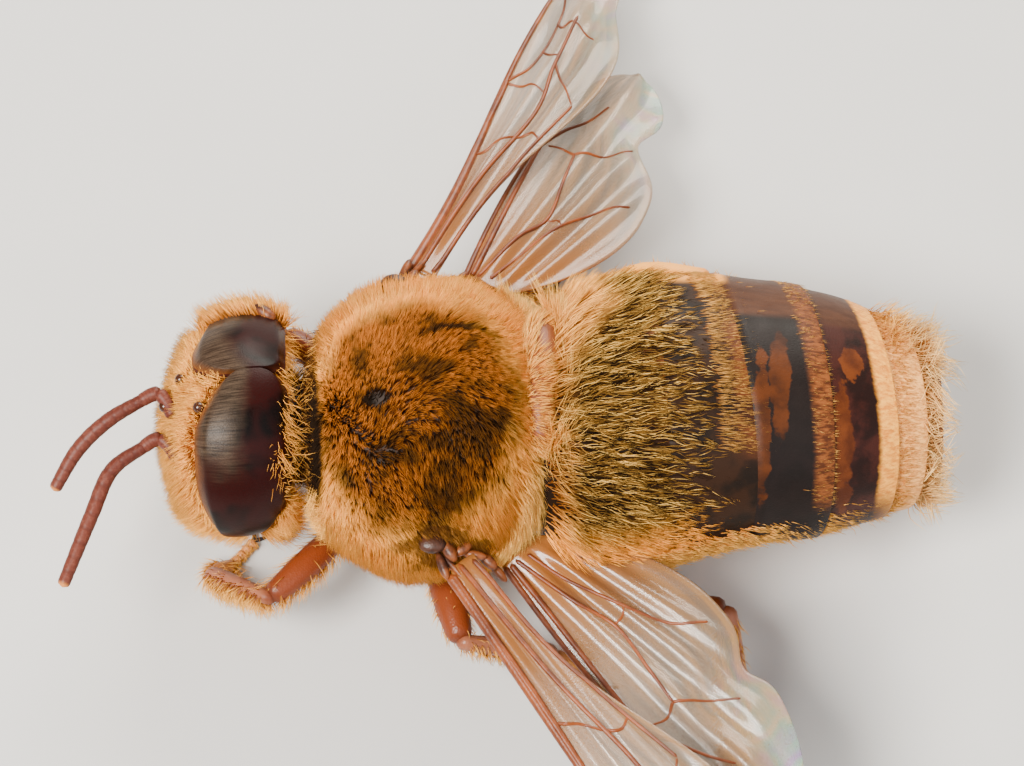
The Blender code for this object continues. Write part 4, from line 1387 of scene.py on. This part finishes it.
def side_lay(points):
    """Hair on the sides runs out and down, a little to the tail, and forward at the neck."""
    x, y = points[:, 0] - THORAX_CENTRE[0], points[:, 1]
    return np.stack([0.35 + 0.5 * x, 0.9 * np.sign(y) * np.minimum(np.abs(y), 1.5), -0.9 + 0 * x],
                    -1)


def nap(points):
    """Patches of longer and shorter fur."""
    x, y = points[:, 0], points[:, 1]
    return 1.0 + 0.22 * np.sin(3.1 * x + 1.3 * y) * np.sin(2.3 * y - 0.7 * x)


def away_from(points, centre, half):
    """0 inside an oval seen from above, 1 outside it."""
    return smooth(oval_share(points, centre, half), 0.8, 1.3)


def open_fur(points):
    """Fur is thin on the bare spot and along the crease behind the disc."""
    x, y = (points[:, k] - CREASE_CENTRE[k] for k in (0, 1))
    crease = np.exp(-((np.hypot(x, y) - CREASE_RADIUS) / 0.08) ** 2)
    crease = crease * smooth(x * 0.6 + y, 0.2, 1.0)
    return (0.12 + 0.88 * away_from(points, BARE_SPOT, (0.22, 0.16))) * (1 - 0.85 * crease)


print("disc of the back:", 2 * DISC_HALF[0], "by", 2 * DISC_HALF[1], "mm")

# %% [markdown]
# ## Fur of the thorax
#
# The back is split at the middle line and each side has a piece of its own, so that no piece
# grows past 200,000 triangles.

# %% Thorax fur
chest_fur = hair_material("chest_hair", chest_hair)
skin = chest(COAT_DEPTH["chest"])
for number, window in enumerate(((0.0, 1.0, 0.0, 0.25), (0.0, 1.0, 0.25, 0.5))):
    fur = strands(skin, 15000, lambda p: 0.38 * nap(p), disc_lay, 11 + number, window=window,
                  density=lambda p, u, v: disc_share(p) * open_fur(p), rise=0.95, shake=0.18,
                  fall=0.22, clump=0.60, per_clump=8)
    coat(f"fur_back_{number + 1}", [fur], chest_fur)
for number, (name, window) in enumerate((("right", (0.0, 1.0, -0.06, 0.25)),
                                         ("left", (0.0, 1.0, 0.25, 0.56)))):
    fur = strands(skin, 12500, lambda p: 0.50 * nap(p), side_lay, 21 + number, window=window,
                  density=lambda p, u, v: 1.02 - disc_share(p), rise=0.62, shake=0.14, fall=0.30,
                  curl=0.12, clump=0.35, per_clump=5, radius=0.0125)
    coat(f"fur_side_{name}", [fur], chest_fur)
under = strands(skin, 4000, 0.5, side_lay, 31, window=(0.0, 1.0, 0.53, 0.97), rise=0.6,
                shake=0.22, fall=0.3, per_clump=9, radius=0.018)
coat("fur_breast", [under], chest_fur)

# %% [markdown]
# ## Long hair behind the thorax and on the abdomen
#
# Golden tufts hang over the edge of the scutellum.  The front of the abdomen wears the longest
# hair, olive gold and combed to the tail, and further back only short fine hair is left, which
# leaves the shell bare to see.

# %% Abdomen coat
def gold_hair(place, tip, tint):
    """Orange at the root, gold and then pale at the tip."""
    gold = tip.rise(0.0, 0.6).blend((0.44, 0.125, 0.010), (0.86, 0.36, 0.040))
    return tip.rise(0.45, 1.0).blend(gold, (1.0, 0.56, 0.12))


def olive_hair(place, tip, tint):
    """Black at the root, olive gold at the tip, and cream down both sides."""
    olive = tip.rise(0.20, 0.95).blend((0.020, 0.009, 0.003), (0.40, 0.190, 0.024))
    olive = tint.rise(0.78, 0.90).blend(olive, (0.80, 0.46, 0.095))
    olive = tint.rise(0.34, 0.30).blend(olive, (0.022, 0.010, 0.003))
    pale_front = (place.axis(0) + place.noise(1.0) * 1.2 - place.axis(1).rise(0.4, 1.8) * 0.8)
    pale_front = pale_front.rise(2.1, 1.3)
    side = place.axis(2).rise(4.9, 3.9)
    gold = tip.rise(0.0, 0.8).blend((0.42, 0.130, 0.012), (0.98, 0.46, 0.075))
    return side.blend(pale_front.blend(olive, gold), CREAM)


def tail_hair(place, tip, tint):
    """Orange at the root, cream at the tip, and palest at the very end."""
    cream = place.axis(0).rise(7.6, 8.2).blend((1.0, 0.50, 0.085), (1.0, 0.62, 0.22))
    return tip.rise(0.0, 0.9).blend((0.46, 0.15, 0.016), cream)


def band_hair(place, tip, tint):
    """Olive brown hair, and cream on the fourth ring."""
    brown = tip.rise(0.0, 0.7).blend((0.18, 0.055, 0.009), (0.62, 0.31, 0.060))
    return place.axis(0).rise(6.2, 6.4).blend(brown, (1.0, 0.50, 0.10))


print("hair colours of the abdomen ready")

# %% [markdown]
# ## The mantle
#
# Long golden tufts fan out over the crescent and part in front of its two bare spots.  One group
# on the left sweeps outwards, and the crescent itself has short down.

# %% Mantle
gold = hair_material("gold_hair", gold_hair)
olive = hair_material("olive_hair", olive_hair)
pale = hair_material("tail_hair", tail_hair)
to_tail = flow(1.0, 0.0, -0.15)


def fan_out(points):
    """Hair spreads to the tail from the middle of the thorax."""
    return np.stack([1.0 + 0 * points[:, 0], 0.55 * points[:, 1], 0.12 + 0 * points[:, 0]], -1)


LEFT_SPOT, RIGHT_SPOT = (0.84, -0.24), (0.68, 1.08)


def parted(points):
    """Long hair parts in front of the two bare spots of the crescent."""
    left, right = (points[:, 1] - spot[1] for spot in (LEFT_SPOT, RIGHT_SPOT))
    return 1 - np.exp(-(left / 0.26) ** 2) - np.exp(-(right / 0.22) ** 2)


tuft = strands(skin, 3900, 0.98, fan_out, 41, window=(0.76, 0.97, 0.0, 0.5),
               density=lambda p, u, v: smooth(p[:, 2], 3.4, 4.2)
               * (0.25 + 0.75 * smooth(np.abs(p[:, 1] - 0.25), 0.9, 1.4))
               * np.maximum(parted(p), 0.0), rise=0.35, shake=0.13, fall=0.12, curl=0.30,
               clump=0.60, per_clump=12, radius=0.0105, rings=4)
edge = strands(crescent, 2300, 1.25, fan_out, 42, window=(0.50, 1.0, 0.0, 0.56),
               density=lambda p, u, v: smooth(p[:, 0], 0.72, 0.95)
               * (0.25 + 0.75 * np.maximum(parted(p), 0.0)), rise=0.12, shake=0.16, curl=0.40,
               clump=0.60, per_clump=10, radius=0.0105, rings=4)
sweep = strands(skin, 1250, 1.30, flow(1.0, -0.30, -0.1), 44, window=(0.80, 0.97, 0.33, 0.50),
                rise=0.28, shake=0.15, fall=0.12, curl=0.40, clump=0.60, per_clump=10,
                radius=0.0115, rings=4)
down = strands(crescent, 2200, 0.34, fan_out, 43, window=(0.10, 0.95, 0.02, 0.48),
               density=lambda p, u, v: (away_from(p, RIGHT_SPOT, (0.24, 0.36))
               * away_from(p, LEFT_SPOT, (0.20, 0.42))), rise=0.35, radius=0.0105)
coat("fur_mantle", [tuft, edge, sweep, down], gold)

# %% [markdown]
# ## Saddle and bands
#
# The olive saddle is combed to the tail and thins out before the second rim.  Behind it, only
# the rear band of each ring has short hair, and none grows on the bare patch at its left end.

# %% Saddle and bands
front = belly(0.30, -1, 1)
saddle = strands(front, 7300, lambda p: 0.98 - 0.12 * p[:, 0], to_tail, 51,
                 window=(0.0, 0.97, 0.0, 0.5), density=lambda p, u, v: (
                     smooth(p[:, 2], 2.8, 3.8) * smooth(p[:, 0], 0.5, 1.0)
                     * (1 - smooth(p[:, 0] + 0.3 * p[:, 1], 3.4, 4.0))),
                 rise=0.26, shake=0.12, fall=0.05, curl=0.20, clump=0.60, per_clump=12,
                 radius=0.0105, rings=4)
coat("fur_saddle", [saddle], olive)


def rear_band(first, lowest):
    """Density of the short hair in a ring's rear band, right of the bare patch at lowest."""
    return lambda points, u, v: (smooth(u, first, first + 0.06)
                                 * smooth(points[:, 1], lowest - 0.3, lowest + 0.1) + 0.001)


short = [strands(belly(0.02, number - 1, number), 1200, 0.22, to_tail, 52 + number,
                 window=(0.05, 0.97, 0.0, 0.5), density=rear_band(0.62, lowest), rise=0.16,
                 shake=0.08, fall=0.0, clump=0.0, radius=0.0075)
         for number, lowest in ((2, -1.8), (3, -1.5))]
shorter = strands(belly(0.19, 0, 1), 3300, 0.40, to_tail, 53, window=(0.45, 0.95, 0.0, 0.5),
                  density=rear_band(0.45, -1.0), rise=0.18, shake=0.10, fall=0.0, clump=0.0,
                  radius=0.0080)
coat("fur_bands", [*short, shorter], hair_material("band_hair", band_hair))

# %% [markdown]
# ## Flanks and tail
#
# Cream hair covers the underside, and a hem of it edges the left flank.  The tail has short
# velvet, a thin brush, curled locks that gather to points and a loose plume on its right side.

# %% Flanks and tail
flank = strands(belly(0.14, -1, 3), 3400, 0.50, flow(1.0, 0.0, -0.7), 54,
                window=(0.0, 1.0, 0.5, 1.0), density=lambda p, u, v: 1 - smooth(p[:, 2], 2.9, 3.9),
                rise=0.35, fall=0.15, curl=0.3, per_clump=9, radius=0.014, rings=3)
hem = strands(belly(0.10, -1, 3), 2300, 0.34, flow(1.0, -0.5, -0.2), 55,
              window=(0.05, 1.0, 0.44, 0.56), density=lambda p, u, v: smooth(p[:, 2], 2.2, 2.9)
              * (1 - smooth(p[:, 2], 3.7, 4.1)), rise=0.35, shake=0.16, curl=0.2, clump=0.3,
              per_clump=9, radius=0.011)
coat("fur_flank", [flank, hem], pale)
tail_skin = belly(0.28, 3, 5)
brush = strands(tail_skin, 450, 0.42, to_tail, 56, density=lambda p, u, v:
                smooth(p[:, 0], 8.0, 8.1) * (p[:, 0] < 8.45), rise=0.35, shake=0.14, curl=0.3,
                radius=0.011)
velvet = strands(belly(0.04, 3, 4), 1100, 0.20, to_tail, 58, window=(0.05, 0.98, 0.0, 0.5),
                 rise=0.25, shake=0.10, fall=0.0, clump=0.0, radius=0.009)
locks = strands(tail_skin, 950, 1.0, to_tail, 57, density=lambda p, u, v:
                smooth(p[:, 0], 7.7, 7.9) * (p[:, 0] < 8.12), rise=0.32, shake=0.24, fall=-0.05,
                curl=0.75, clump=0.80, per_clump=9, radius=0.0145, rings=7)
plume = strands(belly(0.10, 3, 5), 420, 0.72, flow(0.7, 0.6, 0.2), 59,
                density=lambda p, u, v: smooth(p[:, 1], 0.9, 1.5) * smooth(p[:, 0], 7.0, 7.4)
                * (p[:, 0] < 8.3), rise=0.85, curl=0.4, per_clump=3, radius=0.0125, rings=4)
coat("fur_tail", [brush, velvet, locks, plume], pale)

# %% [markdown]
# ## Coat of the head
#
# A hair may not grow where an eye covers the head, so the first step is a distance: how far a
# place on the skin lies from the edge of the nearer eye.

# %% Where the eyes are
def face_hair(place, tip, tint):
    """Orange gold at the root, cream at the tip, darker behind the eyes."""
    cheek = place.axis(0).rise(-5.3, -4.7)
    pale_face = tip.rise(0.0, 0.9).blend((0.52, 0.15, 0.012), (1.0, 0.46, 0.065))
    return (cheek * 0.35).blend(pale_face, (0.60, 0.22, 0.03))


def eye_distance(points):
    """Distance along the head's X axis from the edge of the nearer eye's band, below 0 under
    the eye and above 0 beside it, with the side it lies on: -1 in front and 1 behind."""
    local = (points - HEAD_CENTRE) @ HEAD_MATRIX
    angle = np.arctan2(np.abs(local[:, 1]), local[:, 2] / HEAD_TALL)
    s = (2 * angle - EYE_TOP - EYE_END) / (EYE_END - EYE_TOP)
    left, right = (eye_outline(np.clip(s, -1, 1), side) for side in (-1, 1))
    middle, width = (np.where(local[:, 1] < 0, left[k], right[k]) for k in (0, 1))
    along = local[:, 0] - middle
    return np.where(s < 0.98, np.abs(along) - width, 9.0), np.sign(along)


def off_the_eyes(points, u, v):
    """0 where the band of an eye covers the head."""
    return eye_distance(points)[0] > -0.04


def beside_the_eyes(points, u, v):
    """1 in the narrow strip of face along the front edge of an eye, and little elsewhere."""
    distance, side = eye_distance(points)
    strip = (distance > -0.12) & (distance < 0.26) & (side < 0)
    return 1.0 * strip + 0.01 * (distance > -0.04)


def face_lay(points):
    """Hair on the face runs forward and away from the middle."""
    y = points[:, 1] - HEAD_CENTRE[1]
    return np.stack([-1.0 + 0 * y, 0.55 * y, -0.15 + 0 * y], -1)


print("eyes cover", round(math.degrees(EYE_END - EYE_TOP)), "degrees of the head on each side")

# %% [markdown]
# ## Fur of the face
#
# The mask covers the face.  `lids` are short hairs that stand up along the front edges of the
# eyes, and `lashes` cross the outer half of the right eye, which the cheek's fur hides.

# %% Face fur
head_fur = hair_material("face_hair", face_hair)
head_skin = face(COAT_DEPTH["face"])


def face_length(points):
    """Hair is short between the eyes, longer beside them and longest under the left cheek."""
    y = points[:, 1]
    beside = smooth(np.abs(y - HEAD_CENTRE[1]), 0.6, 1.6)
    return 0.47 + 0.20 * beside + 0.28 * smooth(-y, 1.7, 2.2)


mask = strands(head_skin, 11500, face_length, face_lay, 61, window=(0.003, 0.80, 0.0, 1.0),
               density=off_the_eyes, rise=0.85, fall=0.20, clump=0.35, per_clump=5, radius=0.0105)
lids = strands(head_skin, 1900, 0.42, flow(0.4, 0.0, 0.1), 62, window=(0.10, 0.80, 0.0, 1.0),
               density=beside_the_eyes, rise=1.25, clump=0.3, per_clump=5, radius=0.0115)
lashes = [strands(eye_shape(1), amount, size, flow(-0.5, 0.5, 0.0), 63 + amount,
                  window=(0.35, 0.66, 0.0, 0.5), density=lambda p, u, v: smooth(u, 0.35, 0.40)
                  * (1 - smooth(u, 0.46, 0.66)), rise=1.05, shake=shake, fall=0.15, per_clump=5,
                  radius=0.010)
          for amount, size, shake in ((1500, 0.42, 0.16), (450, 0.62, 0.26))]
coat("fur_face", [mask, lids, *lashes], head_fur)

# %% [markdown]
# ## Ruff, nape and collar
#
# Behind the eyes the head has a ruff, with a beard behind the left cheek and long wisps behind
# the crown.  The neck's hair is dark, partly its own colour and partly painted shade, and a cream
# collar grows on the left shoulder of the thorax.

# %% Ruff, nape and collar
beard = strands(head_skin, 1300, 0.95, flow(1.0, -0.35, 0.0), 70, window=(0.74, 0.98, 0.40, 0.60),
                density=off_the_eyes, rise=0.55, shake=0.16, curl=0.25, clump=0.5, per_clump=7,
                rings=3)
ruff = strands(head_skin, 4300, 0.72, flow(0.9, 0.0, 0.15), 66, window=(0.76, 0.99, 0.0, 1.0),
               density=off_the_eyes, rise=0.75, curl=0.25, clump=0.45, radius=0.011, rings=3)
wisps = strands(head_skin, 420, 1.05, flow(1.0, -0.25, 0.35), 67,
                window=(0.91, 0.985, 0.05, 0.48), rise=0.45, curl=0.28, clump=0.6, per_clump=5,
                radius=0.011, rings=4)
coat("fur_ruff", [beard, ruff, wisps], head_fur)


def nape_hair_and_shade(place, tip, tint):
    """Dark brown hair round the neck, partly its own colour and partly painted shade, with a few
    golden ones.
    """
    dark = tip.rise(0.3, 1.0).blend((0.020, 0.008, 0.003), (0.13, 0.045, 0.008))
    return tint.rise(0.72, 0.76).blend(dark, (0.80, 0.36, 0.05))


nape = [strands(neck, 2000, 0.55, flow(0.4, 0.0, 0.2), 68, window=(0.10, 0.75, 0.0, 1.0),
                rise=0.9, shake=0.3, curl=0.2),
        strands(skin, 1200, 0.55, flow(-1.0, 0.0, 0.2), 69, window=(0.03, 0.14, 0.0, 1.0),
                rise=0.7, shake=0.3, curl=0.2)]
# The neck's dark hair is partly painted shade.
coat("fur_nape", nape, hair_material("nape_hair_and_shade", nape_hair_and_shade))
collar = strands(skin, 1300, 0.80, flow(-1.0, -0.5, 0.1), 60, window=(0.07, 0.24, 0.42, 0.62),
                 rise=0.45, curl=0.2, radius=0.0125)
coat("fur_collar", [collar], pale)

# %% [markdown]
# ## Coat of the legs
#
# Every leg has a fringe, denser on its lower side and shorter towards the toes.  The left front
# leg is the shaggiest.

# %% Leg coat
leg_groups = []
for number, (name, (femur, tibia, first, joints, claws)) in enumerate(LEG_SURFACES.items()):
    outward = flow(0.1, -1.0 if "left" in name else 1.0, -0.25)
    shaggy = 1.45 if name == "leg_front_left" else 1.0
    for part, (surface, amount, size) in enumerate(((femur, 320, 0.32), (tibia, 480, 0.34),
                                                    (first, 420, 0.28))):
        leg_groups.append(strands(surface, int(amount * shaggy), size * shaggy, outward,
                                  71 + 3 * number + part, window=(0.08, 0.95, 0.0, 1.0),
                                  density=lambda p, u, v: 0.12 + (np.sin(2 * math.pi * v) < 0.3),
                                  rise=0.6, shake=0.25, curl=0.2, clump=0.2, per_clump=9,
                                  radius=0.010))
    for part, joint in enumerate(joints):
        leg_groups.append(strands(joint, int(90 * shaggy), 0.16, outward, 96 + 4 * number + part,
                                  window=(0.08, 0.95, 0.0, 1.0), shake=0.25, clump=0.2,
                                  per_clump=9, radius=0.009))
coat("fur_legs", leg_groups, hair_material("leg_hair", tail_hair))

# %% [markdown]
# ## Floor
#
# The bee stands on a pale floor that reaches far past what the camera sees.

# %% Floor
floor_material, floor_place = new_material("floor", Roughness=0.7)
paper = floor_place.noise(0.25, 3.0)
connect(floor_material, paper.blend((0.56, 0.555, 0.54), (0.61, 0.60, 0.585)))
floor_size = 400.0
corner = np.array([[-1, -1], [1, -1], [1, 1], [-1, 1]]) * floor_size
floor_points = np.column_stack([corner, np.zeros(4)]) - ORIGIN * (0, 0, 1)
floor = write_mesh("floor", floor_points, [np.array([[0, 1, 2, 3]])],
                   [np.array([[0, 0], [1, 0], [1, 1], [0, 1]])], floor_material)
print("floor", 2 * floor_size, "mm wide")

# %% [markdown]
# ## Lights
#
# A broad lamp gives soft shadows and a small one hard ones.  All three here are broad: a key
# above the left front, a weak cool fill at the left rear, and a warm rim light on the right,
# which shows in the tips of the hairs.

# %% Lights
def in_metres(place):
    """A place in mm, moved by ORIGIN and turned into the scene's metres."""
    return [float(value) for value in (np.array(place) + ORIGIN) * MM]


def soft_light(name, place, target, size, watts, colour):
    """A square area light that faces its target.  Sizes in mm."""
    lamp = bpy.data.lights.new(name, "AREA")
    lamp.size = size * MM
    lamp.energy = watts
    lamp.color = colour
    item = bpy.data.objects.new(name, lamp)
    bpy.context.scene.collection.objects.link(item)
    item.location = in_metres(place)
    aim = item.location.copy()
    for k, value in enumerate(in_metres(target)):
        aim[k] -= value
    item.rotation_euler = aim.to_track_quat("Z", "Y").to_euler()


MIDDLE = (0.0, 0.0, 3.5)
soft_light("key", (-40, -30, 80), MIDDLE, 38, 0.25, (1.0, 0.95, 0.88))
soft_light("fill", (45, -45, 60), MIDDLE, 80, 0.040, (0.95, 0.97, 1.0))
soft_light("rim", (20, 70, 50), MIDDLE, 50, 0.14, (1.0, 0.94, 0.84))
world = bpy.data.worlds.new("studio")
bpy.context.scene.world = world
world.use_nodes = True
world.node_tree.nodes["Background"].inputs["Color"].default_value = (0.86, 0.88, 0.92, 1.0)
world.node_tree.nodes["Background"].inputs["Strength"].default_value = 0.17

# %% [markdown]
# ## Camera
#
# A long lens from above and a little from the bee's left, so that the back, the eyes and both
# pairs of wings show together.

# %% Camera
CAMERA_RISE = math.radians(68.0)
CAMERA_REACH = 68.3
VIEW_CENTRE = np.array([0.0, 0.949, 3.65])
camera_data = bpy.data.cameras.new("camera")
camera_data.type = "PERSP"
camera_data.lens = 120.0
camera_data.sensor_width = 36.0
camera_data.clip_start = 0.001
camera_data.clip_end = 5.0
camera = bpy.data.objects.new("camera", camera_data)
bpy.context.scene.collection.objects.link(camera)
away = np.array([0.0, -math.cos(CAMERA_RISE), math.sin(CAMERA_RISE)])
camera.location = in_metres(VIEW_CENTRE + away * CAMERA_REACH)
camera.rotation_euler = (math.radians(90.0) - CAMERA_RISE, 0.0, 0.0)
bpy.context.scene.camera = camera
print("camera", CAMERA_REACH, "mm from the bee")
